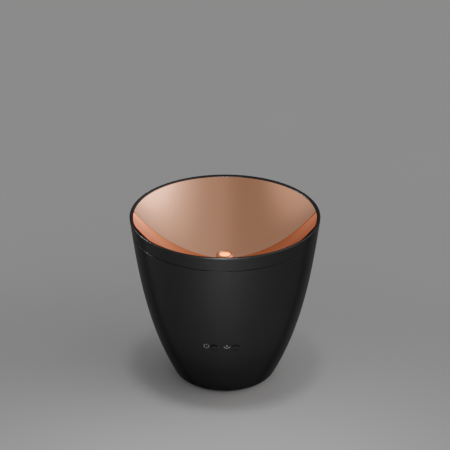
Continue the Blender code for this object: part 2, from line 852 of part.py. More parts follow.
def make_retainer():
    top = RETAINER_BOTTOM + 0.0017
    hole = 0.0070
    ring = [(RETAINER_RADIUS, top), (RETAINER_RADIUS, RETAINER_BOTTOM),
            (hole, RETAINER_BOTTOM), (hole, top)]
    retainer = turned("transducer_retainer", ring, inner_plastic(), steps=SMALL_STEPS)
    for index, angle in enumerate(RETAINER_SCREW_ANGLES, start=1):
        place = around(RETAINER_SCREW_CIRCLE, angle)
        bore = rod("retainer_hole", place + Vector((0, 0, 0.046)), place + Vector((0, 0, 0.051)),
                   0.0012, as_cutter=True, steps=12)
        cut_away(retainer, bore)
        screw(f"retainer_screw_{index}", place + Vector((0, 0, RETAINER_BOTTOM - 0.0014)),
              0.0019, 0.0011, 0.0009, 0.0045)


# ---------------------------------------------------------------- light ring


def make_light_board():
    """Ring-shaped board, open at the back where the air duct passes."""
    top = LIGHT_BOARD_BOTTOM + 0.0012
    ring = [(LIGHT_BOARD_OUTER, top), (LIGHT_BOARD_OUTER, LIGHT_BOARD_BOTTOM),
            (LIGHT_BOARD_INNER, LIGHT_BOARD_BOTTOM), (LIGHT_BOARD_INNER, top)]
    board = turned("light_board", ring, board_green(), steps=40)
    gap = box("duct_gap", (-0.0105, 0.0100, 0.044), (0.0105, 0.0300, 0.052), as_cutter=True)
    cut_away(board, gap)
    for index, angle in enumerate((0, 180), start=1):
        place = around(LIGHT_CIRCLE, angle)
        bore = rod("light_board_hole", place + Vector((0, 0, 0.046)), place + Vector((0, 0, 0.050)),
                   0.0012, as_cutter=True, steps=12)
        cut_away(board, bore)
        screw(f"light_board_screw_{index}", place + Vector((0, 0, LIGHT_BOARD_BOTTOM - 0.0014)),
              0.0019, 0.0011, 0.0009, 0.0045)
    make_lamps(top + GAP)


def make_lamps(bottom):
    amber = material("amber_lamp", (0.95, 0.55, 0.15), 0.25)
    half = 0.0018
    for index, angle in enumerate(LIGHT_ANGLES, start=1):
        place = around(LIGHT_CIRCLE, angle)
        lamp = box(
            f"amber_lamp_{index}",
            place + Vector((-half, -half, bottom)),
            place + Vector((half, half, bottom + 0.0012)),
            amber,
        )
        lens = rod("lamp_lens", place + Vector((0, 0, bottom + 0.0006)),
                   place + Vector((0, 0, bottom + 0.0020)), 0.0013, as_cutter=True, steps=16)
        join_on(lamp, lens)


# ---------------------------------------------------------------- fan and duct


def make_fan_housing():
    half = FAN_SIZE / 2.0
    centre = Vector((FAN_CENTRE.x, FAN_CENTRE.y, 0.0))
    top = FAN_BOTTOM + FAN_HEIGHT
    housing = box(
        "fan_housing",
        centre + Vector((-half, -half, FAN_BOTTOM)),
        centre + Vector((half, half, top)),
        material("fan_black", (0.035, 0.035, 0.038), 0.45),
        corner=0.0025,
    )
    duct = rod("fan_duct", centre + Vector((0, 0, 0.001)), centre + Vector((0, 0, 0.020)),
               FAN_DUCT_RADIUS, as_cutter=True, steps=40)
    cut_away(housing, duct)
    seat = rod("motor_seat", centre + Vector((0, 0, FAN_BOTTOM)),
               centre + Vector((0, 0, FAN_BOTTOM + STRUT_HEIGHT)), HUB_RADIUS, as_cutter=True)
    join_on(housing, seat)
    for angle in (90, 210, 330):
        strut = box(
            "strut",
            (STRUT_ROOT, -STRUT_HALF_WIDTH, FAN_BOTTOM),
            (STRUT_TIP, STRUT_HALF_WIDTH, FAN_BOTTOM + STRUT_HEIGHT),
            as_cutter=True,
        )
        turn_about(strut, centre, angle)
        join_on(housing, strut)
    bearing = rod("bearing_hole", centre + Vector((0, 0, 0.004)), centre + Vector((0, 0, 0.008)),
                  0.0014, as_cutter=True, steps=12)
    cut_away(housing, bearing)
    for place in fan_screw_places():
        bore = rod("fan_bore", place, place + Vector((0, 0, 0.020)), 0.0015,
                   as_cutter=True, steps=12)
        cut_away(housing, bore)
    return housing


def turn_about(item, centre, degrees):
    """Swing an object, placed as if the centre were the origin, about that centre."""
    swing = Matrix.Rotation(math.radians(degrees), 4, "Z")
    placed = Matrix.Translation(item.location) @ item.rotation_euler.to_matrix().to_4x4()
    item.matrix_world = Matrix.Translation(centre) @ swing @ placed


def make_fan_impeller():
    """Hub, stub shaft and pitched blades that spin together on the fan's axis."""
    centre = Vector((FAN_CENTRE.x, FAN_CENTRE.y, 0.0))
    hub_bottom = 0.0070
    hub_top = 0.0145
    hub = [
        (0.0, hub_top),
        (HUB_RADIUS - 0.0008, hub_top),
        (HUB_RADIUS, hub_top - 0.0008),
        (HUB_RADIUS, hub_bottom),
        (0.0010, hub_bottom),
        (0.0010, FAN_BOTTOM + 0.0004),
        (0.0, FAN_BOTTOM + 0.0004),
    ]
    impeller = turned("fan_impeller", hub, material("impeller_black", (0.05, 0.05, 0.055), 0.4),
                      steps=SMALL_STEPS, closed=False)
    impeller.location = centre
    middle = (hub_bottom + hub_top) / 2.0
    for index in range(FAN_BLADES):
        blade = box(
            "blade",
            (BLADE_ROOT, -BLADE_HALF_THICKNESS, -BLADE_HALF_WIDTH),
            (BLADE_TIP, BLADE_HALF_THICKNESS, BLADE_HALF_WIDTH),
            as_cutter=True,
        )
        blade.location.z = middle
        blade.rotation_euler = (BLADE_PITCH, 0.0, 0.0)
        turn_about(blade, centre, index * 360.0 / FAN_BLADES)
        join_on(impeller, blade)
    return impeller


def make_fan_screws():
    for index, place in enumerate(fan_screw_places(), start=1):
        screw(f"fan_screw_{index}", place + Vector((0, 0, 0.0009)), 0.0023, 0.0011, 0.0011, 0.0090)


def rounded_ring(half_x, half_y, corner, centre_y, height):
    """One rounded-rectangle section, as a list of points."""
    points = []
    for quarter, (side_x, side_y) in enumerate(((1, 1), (-1, 1), (-1, -1), (1, -1))):
        for step in range(4):
            angle = math.radians(90 * quarter + 30 * step)
            x = side_x * (half_x - corner) + corner * math.cos(angle)
            y = centre_y + side_y * (half_y - corner) + corner * math.sin(angle)
            points.append(Vector((x, y, height)))
    return points


def make_air_duct():
    """Hood over the fan that narrows to the tank's air tower: a loft of unlike sections."""
    wall = 0.0013
    neck_x = TOWER_WIDTH / 2.0 + wall
    neck_y = TOWER_DEPTH / 2.0 + wall
    half = FAN_SIZE / 2.0 - GAP
    top = TANK_FLOOR_UNDERSIDE - 0.0011
    stations = (
        (half, half, 0.0030, FAN_CENTRE.y, 0.0155),
        (half, half, 0.0030, FAN_CENTRE.y, 0.0185),
        (neck_x, neck_y, 0.0020, TOWER_CENTRE_Y, 0.0310),
        (neck_x, neck_y, 0.0020, TOWER_CENTRE_Y, top),
    )
    shape = bmesh.new()
    outer = []
    inner = []
    for half_x, half_y, corner, centre_y, height in stations:
        ring = rounded_ring(half_x, half_y, corner, centre_y, height)
        outer.append([shape.verts.new(point) for point in ring])
        ring = rounded_ring(half_x - wall, half_y - wall, corner - 0.0008, centre_y, height)
        inner.append([shape.verts.new(point) for point in ring])
    rings = outer + list(reversed(inner))
    for first, second in zip(rings, rings[1:] + rings[:1]):
        count = len(first)
        for index in range(count):
            following = (index + 1) % count
            shape.faces.new((first[index], first[following], second[following], second[index]))
    bmesh.ops.recalc_face_normals(shape, faces=shape.faces)
    mesh = bpy.data.meshes.new("air_duct")
    shape.to_mesh(mesh)
    shape.free()
    smooth(mesh)
    put_mesh("air_duct", mesh, inner_plastic())
    make_duct_seal(top)


def make_duct_seal(duct_top):
    """Foam frame squeezed between the duct's neck and the tank."""
    half_x = TOWER_WIDTH / 2.0
    half_y = TOWER_DEPTH / 2.0
    edge = 0.0022
    frame = box(
        "duct_seal",
        (-half_x - edge, TOWER_CENTRE_Y - half_y - edge, duct_top + 0.0002),
        (half_x + edge, TOWER_CENTRE_Y + half_y + edge, TANK_FLOOR_UNDERSIDE - 0.0002),
        material("grey_foam", (0.12, 0.12, 0.12), 0.9),
    )
    hole = box(
        "duct_seal_hole",
        (-half_x, TOWER_CENTRE_Y - half_y, duct_top - 0.002),
        (half_x, TOWER_CENTRE_Y + half_y, TANK_FLOOR_UNDERSIDE + 0.002),
        as_cutter=True,
    )
    cut_away(frame, hole)


# ---------------------------------------------------------------- circuit board


def make_main_board():
    half = BOARD_WIDTH / 2.0
    top = BOARD_BOTTOM + BOARD_THICKNESS
    board = box("main_board", (-half, BOARD_FRONT, BOARD_BOTTOM), (half, BOARD_REAR, top),
                board_green())
    notch = box("post_notch", (-0.0040, -0.0400, 0.020), (0.0040, -0.0255, 0.030), as_cutter=True)
    cut_away(board, notch)
    for index, (x, y) in enumerate(BOARD_POSTS, start=1):
        hole = rod("board_hole", (x, y, 0.020), (x, y, 0.030), 0.0014, as_cutter=True, steps=12)
        cut_away(board, hole)
        screw(f"board_screw_{index}", (x, y, BOARD_BOTTOM - 0.0015), 0.0022, 0.0012, 0.0010, 0.0070)
    make_board_parts(top + GAP)


def make_board_parts(deck):
    """The large components that stand on the circuit board."""
    black = material("part_black", (0.03, 0.03, 0.03), 0.4)
    rod("drive_inductor", (-0.0140, -0.0200, deck), (-0.0140, -0.0200, deck + 0.0080), 0.0042, black)
    rod("filter_capacitor", (0.0130, -0.0190, deck), (0.0130, -0.0190, deck + 0.0100), 0.0031,
        material("capacitor_sleeve", (0.05, 0.07, 0.20), 0.35))
    box("control_chip", (0.0005, -0.0230, deck), (0.0065, -0.0180, deck + 0.0014), black)
    transistor = box("drive_transistor", (-0.0070, -0.0180, deck), (0.0010, -0.0145, deck + 0.0090), black)
    tab = box("cooling_tab", (-0.0070, -0.0150, deck + 0.0020), (0.0010, -0.0137, deck + 0.0150),
              as_cutter=True)
    join_on(transistor, tab)
    for name, x, y in connector_places():
        connector = box(name, (x - 0.0025, y - 0.0018, deck), (x + 0.0025, y + 0.0018, deck + 0.0045),
                        nylon_white())
        pocket = box("pocket", (x - 0.0019, y - 0.0012, deck + 0.0015), (x + 0.0019, y + 0.0012, 0.04),
                     as_cutter=True)
        cut_away(connector, pocket)


def connector_places():
    return (
        ("fan_connector", 0.0100, -0.0300),
        ("button_connector", 0.0180, -0.0300),
        ("transducer_connector", -0.0100, -0.0300),
        ("light_connector", -0.0180, -0.0300),
        ("power_connector", 0.0205, -0.0158),
    )


# ---------------------------------------------------------------- buttons


def make_button(name, x):
    """Key turned about its axis, faced to the shell's curve and scooped along its top edge."""
    profile = [
        (0.0, BUTTON_BLANK_Y),
        (BUTTON_RADIUS, BUTTON_BLANK_Y),
        (BUTTON_RADIUS, BUTTON_FLANGE_FRONT),
        (BUTTON_FLANGE_RADIUS, BUTTON_FLANGE_FRONT),
        (BUTTON_FLANGE_RADIUS, BUTTON_FLANGE_BACK),
        (BUTTON_STEM_RADIUS, BUTTON_FLANGE_BACK),
        (BUTTON_STEM_RADIUS, BUTTON_STEM_END),
        (0.0, BUTTON_STEM_END),
    ]
    forward = [(radius, -y) for radius, y in profile]
    button = turned(name, forward, satin_black(), steps=SMALL_STEPS, closed=False)
    button.location = (x, 0.0, BUTTON_Z)
    button.rotation_euler = (math.radians(90), 0.0, 0.0)
    face = [(outside_radius(height) - BUTTON_RECESS, height) for height in FACING_HEIGHTS]
    beyond = [(FACING_OUTER_RADIUS, FACING_HEIGHTS[-1]), (FACING_OUTER_RADIUS, FACING_HEIGHTS[0])]
    facing = turned("button_facing", face + beyond, steps=4 * BIG_STEPS, as_cutter=True)
    scoop_z = BUTTON_Z + BUTTON_RADIUS + SCOOP_RISE
    scoop_y = -outside_radius(scoop_z)
    scoop = rod("button_scoop", (x - SCOOP_HALF_LENGTH, scoop_y, scoop_z),
                (x + SCOOP_HALF_LENGTH, scoop_y, scoop_z), SCOOP_RADIUS, as_cutter=True)
    cut_away(button, facing, scoop)
    return button


def make_button_set():
    make_button("power_button", -BUTTON_X)
    make_button("light_button", BUTTON_X)
    bottom = BUTTON_Z - GUIDE_HALF_HEIGHT
    top = BUTTON_Z + GUIDE_HALF_HEIGHT
    guide = box("button_guide", (-GUIDE_HALF_WIDTH, GUIDE_FRONT, bottom),
                (GUIDE_HALF_WIDTH, GUIDE_BACK, top), inner_plastic())
    board = box("button_board", (-GUIDE_HALF_WIDTH, BUTTON_BOARD_FRONT, bottom),
                (GUIDE_HALF_WIDTH, BUTTON_BOARD_BACK, top), board_green())
    for side in (-1, 1):
        x = side * BUTTON_X
        bore = rod("guide_bore", (x, GUIDE_FRONT - THROUGH, BUTTON_Z),
                   (x, GUIDE_BACK + THROUGH, BUTTON_Z), GUIDE_BORE_RADIUS, as_cutter=True)
        cut_away(guide, bore)
        peg_x = side * PEG_X
        peg = rod("guide_peg", (peg_x, GUIDE_BACK - OVERLAP, BUTTON_Z), (peg_x, PEG_END, BUTTON_Z),
                  PEG_RADIUS, as_cutter=True, steps=12)
        join_on(guide, peg)
        peg_hole = rod("peg_hole", (peg_x, BUTTON_BOARD_FRONT - THROUGH, BUTTON_Z),
                       (peg_x, BUTTON_BOARD_BACK + THROUGH, BUTTON_Z), PEG_HOLE_RADIUS,
                       as_cutter=True, steps=12)
        cut_away(board, peg_hole)
    make_switch("power_switch", -BUTTON_X)
    make_switch("light_switch", BUTTON_X)


def make_switch(name, x):
    """Tactile switch whose plunger waits just behind the button's stem."""
    switch = box(
        name,
        (x - SWITCH_HALF, SWITCH_FRONT, BUTTON_Z - SWITCH_HALF),
        (x + SWITCH_HALF, SWITCH_BACK, BUTTON_Z + SWITCH_HALF),
        material("switch_black", (0.04, 0.04, 0.04), 0.5),
    )
    plunger_front = BUTTON_STEM_END + BUTTON_TRAVEL + PLUNGER_CLEARANCE
    plunger = rod("plunger", (x, plunger_front, BUTTON_Z), (x, SWITCH_FRONT + OVERLAP, BUTTON_Z),
                  PLUNGER_RADIUS, as_cutter=True, steps=16)
    join_on(switch, plunger)


# ---------------------------------------------------------------- power socket


def make_dc_jack():
    """Socket with a round nose, a bore for the plug and a centre pin."""
    jack = box(
        "dc_jack",
        (-JACK_HALF_WIDTH, JACK_FRONT, JACK_Z - JACK_HALF_HEIGHT),
        (JACK_HALF_WIDTH, JACK_REAR, JACK_Z + JACK_HALF_HEIGHT),
        material("jack_black", (0.02, 0.02, 0.02), 0.35),
    )
    nose = rod("jack_nose", (0, JACK_REAR - OVERLAP, JACK_Z), (0, JACK_FACE_Y, JACK_Z),
               JACK_NOSE_RADIUS, as_cutter=True)
    bore = rod("jack_bore", (0, JACK_BORE_END, JACK_Z), (0, JACK_FACE_Y + THROUGH, JACK_Z),
               JACK_BORE_RADIUS, as_cutter=True)
    pin = rod("jack_pin", (0, JACK_BORE_END - OVERLAP, JACK_Z),
              (0, JACK_FACE_Y - JACK_PIN_INSET, JACK_Z), JACK_PIN_RADIUS, as_cutter=True, steps=12)
    join_on(jack, nose)
    cut_away(jack, bore)
    join_on(jack, pin)


# ---------------------------------------------------------------- leads


def through(points, per_span):
    """Points on a Catmull-Rom path through the given places."""
    places = [Vector(point) for point in points]
    ends = [2 * places[0] - places[1]] + places + [2 * places[-1] - places[-2]]
    path = []
    for index in range(len(places) - 1):
        before, start, end, after = ends[index:index + 4]
        for step in range(per_span):
            at = step / per_span
            path.append(0.5 * (2 * start + (end - before) * at
                               + (2 * before - 5 * start + 4 * end - after) * at ** 2
                               + (3 * start - before - 3 * end + after) * at ** 3))
    path.append(places[-1])
    return path


def lead(name, points, colour):
    """A sheathed lead that follows a smooth path."""
    data = bpy.data.curves.new(name, "CURVE")
    data.dimensions = "3D"
    path = through(points, 3)
    spline = data.splines.new("POLY")
    spline.points.add(len(path) - 1)
    for point, place in zip(spline.points, path):
        point.co = (*place, 1.0)
    data.bevel_depth = 0.0008
    data.bevel_resolution = 1
    data.use_fill_caps = True
    data.materials.append(material(name + "_sheath", colour, 0.5))
    item = bpy.data.objects.new(name, data)
    PARTS.objects.link(item)
    return item


def make_leads():
    """Each lead rises out of its connector and ends at the piece that it feeds."""
    start = BOARD_BOTTOM + BOARD_THICKNESS + GAP + 0.0019
    mouth = start + 0.0032
    rise = start + 0.0055
    red = (0.60, 0.05, 0.04)
    ivory = (0.75, 0.72, 0.65)
    yellow = (0.80, 0.50, 0.05)
    black = (0.03, 0.03, 0.03)
    routes = (
        ("fan_lead", red, ((0.0180, -0.0335, 0.0350), (0.0320, -0.0250, 0.0290), (0.0335, -0.0120, 0.0180),
                           (0.0270, -0.0020, 0.0110), (0.0208, 0.0010, 0.0102))),
        ("button_lead", ivory, ((0.0170, -0.0330, 0.0370), (0.0120, -0.0385, 0.0450),
                                (0.0110, -0.0410, 0.0480))),
        ("transducer_lead", black, ((-0.0080, -0.0180, 0.0420), (-0.0035, -0.0050, 0.0455),
                                    (-0.0025, -0.0010, 0.0495))),
        ("light_lead", yellow, ((-0.0185, -0.0180, 0.0390), (-0.0180, -0.0118, 0.0455))),
        ("power_lead", black, ((0.0250, -0.0100, 0.0330), (0.0345, 0.0030, 0.0240), (0.0345, 0.0180, 0.0180),
                               (0.0200, 0.0300, 0.0170), (0.0052, 0.0330, 0.0160))),
    )
    places = {name.split("_")[0]: (x, y) for name, x, y in connector_places()}
    for name, colour, rest in routes:
        x, y = places[name.split("_")[0]]
        lead(name, ((x, y, start), (x, y, mouth), (x, y, rise)) + rest, colour)


def build():
    global PARTS, CUTTERS
    clear_scene()
    PARTS = new_collection("essential_oil_diffuser")
    CUTTERS = new_collection("construction")
    make_lid_band()
    make_lid_dish()
    make_reflector_bowl()
    make_outlet_collar()
    make_mist_chimney()
    make_lid_seal()
    make_outer_shell()
    make_water_tank()
    make_air_tower()
    make_inner_frame()
    make_base_plate()
    make_feet()
    make_base_screws()
    make_transducer()
    make_light_board()
    make_fan_housing()
    make_fan_impeller()
    make_fan_screws()
    make_air_duct()
    make_main_board()
    make_button_set()
    make_dc_jack()
    make_leads()


build()
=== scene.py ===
import math

import bmesh
import bpy
import numpy as np
from mathutils import Matrix, Vector


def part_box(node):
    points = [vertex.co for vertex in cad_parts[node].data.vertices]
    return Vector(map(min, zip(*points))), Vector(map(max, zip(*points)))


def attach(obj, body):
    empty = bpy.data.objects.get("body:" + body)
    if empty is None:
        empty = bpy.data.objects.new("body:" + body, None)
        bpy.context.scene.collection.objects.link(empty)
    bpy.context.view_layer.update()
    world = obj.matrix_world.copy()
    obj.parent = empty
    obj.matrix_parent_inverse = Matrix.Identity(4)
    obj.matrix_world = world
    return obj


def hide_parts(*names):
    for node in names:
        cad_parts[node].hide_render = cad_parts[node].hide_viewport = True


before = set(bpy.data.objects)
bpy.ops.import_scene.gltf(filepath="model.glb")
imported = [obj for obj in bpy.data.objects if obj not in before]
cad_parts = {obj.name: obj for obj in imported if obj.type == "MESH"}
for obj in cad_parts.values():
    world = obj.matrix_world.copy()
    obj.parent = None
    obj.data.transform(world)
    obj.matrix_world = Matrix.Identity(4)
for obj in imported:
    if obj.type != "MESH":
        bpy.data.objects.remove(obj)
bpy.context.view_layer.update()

MM = 0.001

# ---------------------------------------------------------------- sizes, some read from the parts in model.glb


def low(node):
    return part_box(node)[0]


def high(node):
    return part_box(node)[1]


RIM_TOP = high("lid_band").z
RIM_RADIUS = 0.0710
SEAM_TOP = 0.12005
SHELL_TOP = high("outer_shell").z
SHELL_BOTTOM = low("outer_shell").z
SHELL_WALL = 2.4 * MM
GAP = 0.3 * MM
BASE_RADIUS = 37.88 * MM
BASE_LEAN = math.radians(27.3)
BASE_HANDLE = 46.6 * MM
RIM_LEAN = math.radians(6.7)
RIM_HANDLE = 48.1 * MM
BOWL_EDGE = Vector((68.20 * MM, 130.1 * MM))
BOWL_EDGE_SLOPE = math.radians(52.9)
BOWL_EDGE_HANDLE = 14.9 * MM
BOWL_MOUTH = Vector((7.0 * MM, 94.4 * MM))
BOWL_MOUTH_SLOPE = math.radians(9.4)
BOWL_MOUTH_HANDLE = 33.9 * MM
BOWL_THICKNESS = 1.0 * MM
DISH_RADIUS = 66.2 * MM
DISH_WALL = 1.4 * MM
SPIGOT_RADIUS = 8.4 * MM
SPIGOT_BOTTOM = 88.0 * MM
OUTLET_TOP = high("outlet_collar").z
OUTLET_RADIUS = 6.6 * MM
OUTLET_BORE = 4.0 * MM
BUTTON_RADIUS = 2.85 * MM
BUTTON_HOLE_RADIUS = 2.97 * MM
BUTTON_RECESS = 0.1 * MM
SCOOP_START = 1.95 * MM
SCOOP_DEPTH = 1.7 * MM
BUTTON_X = (high("power_button").x + low("power_button").x) / -2.0
BUTTON_Z = (high("power_button").z + low("power_button").z) / 2.0
JACK_Z = (high("dc_jack").z + low("dc_jack").z) / 2.0
JACK_HOLE_RADIUS = 4.4 * MM
TOWER_HALF_X = 7.0 * MM
TOWER_HALF_Y = 4.5 * MM
TOWER_WALL = 1.5 * MM
TOWER_CENTRE = (0.0, 25.5 * MM)
TANK_KNUCKLE = Vector((38.5 * MM, 60.5 * MM))
TANK_WALL = 1.8 * MM
FAN_CENTRE = Vector((0.0, 7.0 * MM, 0.0))
FAN_HOLE_OFFSET = 16.0 * MM

ROUND_STEPS = 192
SMALL_STEPS = 64
SHARP_ANGLE = math.radians(32)
WELD_DISTANCE = 0.0005 * MM
ON_SURFACE = 0.05 * MM
SAME_WAY = 0.97


# ---------------------------------------------------------------- curves and profiles


def curve_point(points, at):
    """Point of a Bezier curve of any order (de Casteljau)."""
    level = [Vector(point) for point in points]
    while len(level) > 1:
        level = [a.lerp(b, at) for a, b in zip(level, level[1:])]
    return level[0]


def curve_points(points, count):
    return [curve_point(points, index / (count - 1)) for index in range(count)]


def outside_curve():
    """Outside of the body, from the base to the rim, as (radius, height) control points."""
    base = Vector((BASE_RADIUS, 0.0))
    rim = Vector((RIM_RADIUS, RIM_TOP))
    lower = base + BASE_HANDLE * Vector((math.sin(BASE_LEAN), math.cos(BASE_LEAN)))
    upper = rim - RIM_HANDLE * Vector((math.sin(RIM_LEAN), math.cos(RIM_LEAN)))
    return (base, lower, upper, rim)


OUTSIDE_FINE = curve_points(outside_curve(), 600)
OUTSIDE_HEIGHTS = [point.y for point in OUTSIDE_FINE]
OUTSIDE_RADII = [point.x for point in OUTSIDE_FINE]


def outside_radius(height):
    return float(np.interp(height, OUTSIDE_HEIGHTS, OUTSIDE_RADII))


def outside_slope(height):
    step = 0.4 * MM
    return (outside_radius(height + step) - outside_radius(height - step)) / (2.0 * step)


def outside_points(top, bottom, count):
    heights = np.linspace(top, bottom, count)
    return [Vector((outside_radius(height), height)) for height in heights]


def inside_points(bottom, top, count):
    heights = np.linspace(bottom, top, count)
    walls = [SHELL_WALL * math.hypot(1.0, outside_slope(height)) for height in heights]
    return [Vector((outside_radius(h) - wall, h)) for h, wall in zip(heights, walls)]


def bowl_curve():
    edge_run = Vector((math.cos(BOWL_EDGE_SLOPE), math.sin(BOWL_EDGE_SLOPE)))
    mouth_run = Vector((math.cos(BOWL_MOUTH_SLOPE), math.sin(BOWL_MOUTH_SLOPE)))
    return (
        BOWL_EDGE,
        BOWL_EDGE - BOWL_EDGE_HANDLE * edge_run,
        BOWL_MOUTH + BOWL_MOUTH_HANDLE * mouth_run,
        BOWL_MOUTH,
    )


def below_bowl(depth, count):
    """Points at a depth under the bowl's mirror face, from its edge to its mouth."""
    step = 0.001
    points = []
    for at in np.linspace(0.0, 1.0, count):
        before = curve_point(bowl_curve(), max(0.0, at - step))
        after = curve_point(bowl_curve(), min(1.0, at + step))
        run = (after - before).normalized()
        points.append(curve_point(bowl_curve(), at) + depth * Vector((-run.y, run.x)))
    return points


def dish_points(depth, outer, inner, count):
    """Points of that under-surface at even radii."""
    fine = below_bowl(depth, 500)[::-1]
    radii = np.linspace(outer, inner, count)
    heights = np.interp(radii, [point.x for point in fine], [point.y for point in fine])
    return [Vector((radius, height)) for radius, height in zip(radii, heights)]


def rounded(corners, segments=5, closed=False):
    """Replace each (radius, height, rounding) corner with a short curve."""
    points = []
    count = len(corners)
    for index, corner in enumerate(corners):
        here = Vector(corner[:2])
        rounding = corner[2] if len(corner) > 2 else 0.0
        at_end = not closed and index in (0, count - 1)
        if rounding <= 0.0 or at_end:
            points.append(here)
            continue
        before = Vector(corners[index - 1][:2]) - here
        after = Vector(corners[(index + 1) % count][:2]) - here
        reach = min(rounding, 0.49 * before.length, 0.49 * after.length)
        control = (here + before.normalized() * reach, here, here + after.normalized() * reach)
        points.extend(curve_points(control, segments))
    return points


# ---------------------------------------------------------------- mesh helpers


def new_piece(name, mesh, finish):
    item = bpy.data.objects.new(name, mesh)
    bpy.context.scene.collection.objects.link(item)
    mesh.materials.append(finish)
    return item


def smooth(mesh):
    mesh.shade_smooth()
    mesh.set_sharp_from_angle(angle=SHARP_ANGLE)


def from_bmesh(name, shape, finish):
    bmesh.ops.remove_doubles(shape, verts=shape.verts, dist=WELD_DISTANCE)
    bmesh.ops.recalc_face_normals(shape, faces=shape.faces)
    mesh = bpy.data.meshes.new(name)
    shape.to_mesh(mesh)
    shape.free()
    smooth(mesh)
    return new_piece(name, mesh, finish)


def turned_bmesh(profile, steps, closed):
    """Spin a profile in the XZ plane about Z."""
    shape = bmesh.new()
    verts = [shape.verts.new((point[0], 0.0, point[1])) for point in profile]
    edges = [shape.edges.new(pair) for pair in zip(verts, verts[1:])]
    if closed:
        edges.append(shape.edges.new((verts[-1], verts[0])))
    bmesh.ops.spin(
        shape,
        geom=verts + edges,
        axis=(0.0, 0.0, 1.0),
        cent=(0.0, 0.0, 0.0),
        steps=steps,
        angle=2.0 * math.pi,
        use_merge=True,
    )
    return shape


def turned(name, profile, finish, steps=ROUND_STEPS, closed=True):
    return from_bmesh(name, turned_bmesh(profile, steps, closed), finish)


def box_bmesh(low_corner, high_corner, bevel=0.0):
    low_corner = Vector(low_corner)
    high_corner = Vector(high_corner)
    shape = bmesh.new()
    bmesh.ops.create_cube(shape, size=1.0)
    bmesh.ops.scale(shape, vec=high_corner - low_corner, verts=shape.verts)
    bmesh.ops.translate(shape, vec=(low_corner + high_corner) / 2.0, verts=shape.verts)
    if bevel > 0.0:
        bmesh.ops.bevel(shape, geom=shape.edges[:], offset=bevel, segments=3, affect="EDGES")
    return shape


def rod_bmesh(start, end, radius):
    start = Vector(start)
    end = Vector(end)
    shape = bmesh.new()
    bmesh.ops.create_cone(
        shape,
        cap_ends=True,
        segments=SMALL_STEPS,
        radius1=radius,
        radius2=radius,
        depth=(end - start).length,
    )
    turn = (end - start).to_track_quat("Z", "Y").to_matrix().to_4x4()
    shape.transform(Matrix.Translation((start + end) / 2.0) @ turn)
    return shape


def level_rod(x, z, front, back, radius):
    return rod_bmesh((x, front, z), (x, back, z), radius)


def upright_rod(x, y, bottom, top, radius):
    return rod_bmesh((x, y, bottom), (x, y, top), radius)


def loft_bmesh(rings, endless=False):
    """Join rings of points into a skin: capped at both ends, or closed on itself."""
    shape = bmesh.new()
    rows = [[shape.verts.new(point) for point in ring] for ring in rings]
    if not endless:
        shape.faces.new(rows[0])
        shape.faces.new(list(reversed(rows[-1])))
    for first, second in zip(rows, rows[1:] + rows[:1] if endless else rows[1:]):
        for index in range(len(first)):
            following = (index + 1) % len(first)
            shape.faces.new((first[index], first[following], second[following], second[index]))
    return shape


def rounded_ring(half_x, half_y, corner, centre, height, steps=6):
    """Rounded rectangle at a height, as a ring of points."""
    points = []
    for quarter, (side_x, side_y) in enumerate(((1, 1), (-1, 1), (-1, -1), (1, -1))):
        for step in range(steps):
            angle = math.radians(90 * quarter + 90 * step / (steps - 1))
            x = centre[0] + side_x * (half_x - corner) + corner * math.cos(angle)
            y = centre[1] + side_y * (half_y - corner) + corner * math.sin(angle)
            points.append(Vector((x, y, height)))
    return points


def slot_bmesh(half_x, half_y, corner, centre, bottom, top):
    return loft_bmesh([rounded_ring(half_x, half_y, corner, centre, z) for z in (bottom, top)])


def merged(shapes):
    """Several separate shapes in one."""
    together = bmesh.new()
    for shape in shapes:
        mesh = bpy.data.meshes.new("part")
        shape.to_mesh(mesh)
        shape.free()
        together.from_mesh(mesh)
        bpy.data.meshes.remove(mesh)
    return together


def helper(shape):
    """A mesh used only to cut or join another one."""
    mesh = bpy.data.meshes.new("helper")
    shape.to_mesh(mesh)
    shape.free()
    item = bpy.data.objects.new("helper", mesh)
    bpy.context.scene.collection.objects.link(item)
    return item


def carve(item, shapes, operation="DIFFERENCE"):
    """Cut shapes from a piece, or join them to it, and keep the result as its mesh."""
    helpers = [helper(shape) for shape in shapes]
    for tool in helpers:
        step = item.modifiers.new("carve", "BOOLEAN")
        step.operation = operation
        step.solver = "EXACT"
        step.object = tool
    settle(item)
    for tool in helpers:
        bpy.data.objects.remove(tool, do_unlink=True)


def settle(item):
    """Apply a piece's modifiers to its mesh."""
    graph = bpy.context.evaluated_depsgraph_get()
    mesh = bpy.data.meshes.new_from_object(item.evaluated_get(graph))
    item.modifiers.clear()
    item.data = mesh
    smooth(mesh)


def true_normals(item, surface_normal):
    """Shade the faces that lie along a known surface with that surface's own normals."""
    mesh = item.data
    normals = []
    for face in mesh.polygons:
        for index in face.loop_indices:
            place = mesh.vertices[mesh.loops[index].vertex_index].co
            wanted = surface_normal(place)
            follows = wanted is not None and wanted.dot(face.normal) > SAME_WAY
            normals.append(wanted if follows else mesh.corner_normals[index].vector.copy())
    mesh.normals_split_custom_set(normals)


def outside_normal(place):
    """Normal of the body's outside at a point on it, or None for a point elsewhere."""
    radius = math.hypot(place.x, place.y)
    if abs(radius - outside_radius(place.z)) > ON_SURFACE:
        return None
    normal = Vector((place.x / radius, place.y / radius, -outside_slope(place.z)))
    return normal.normalized()


def dress(item, body, slot, *nodes):
    """Put a piece on its body and let it stand for CAD nodes, which are hidden; the slot, a finish name,
    is not used.
    """
    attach(item, body)
    if nodes:
        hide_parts(*nodes)


# ---------------------------------------------------------------- materials


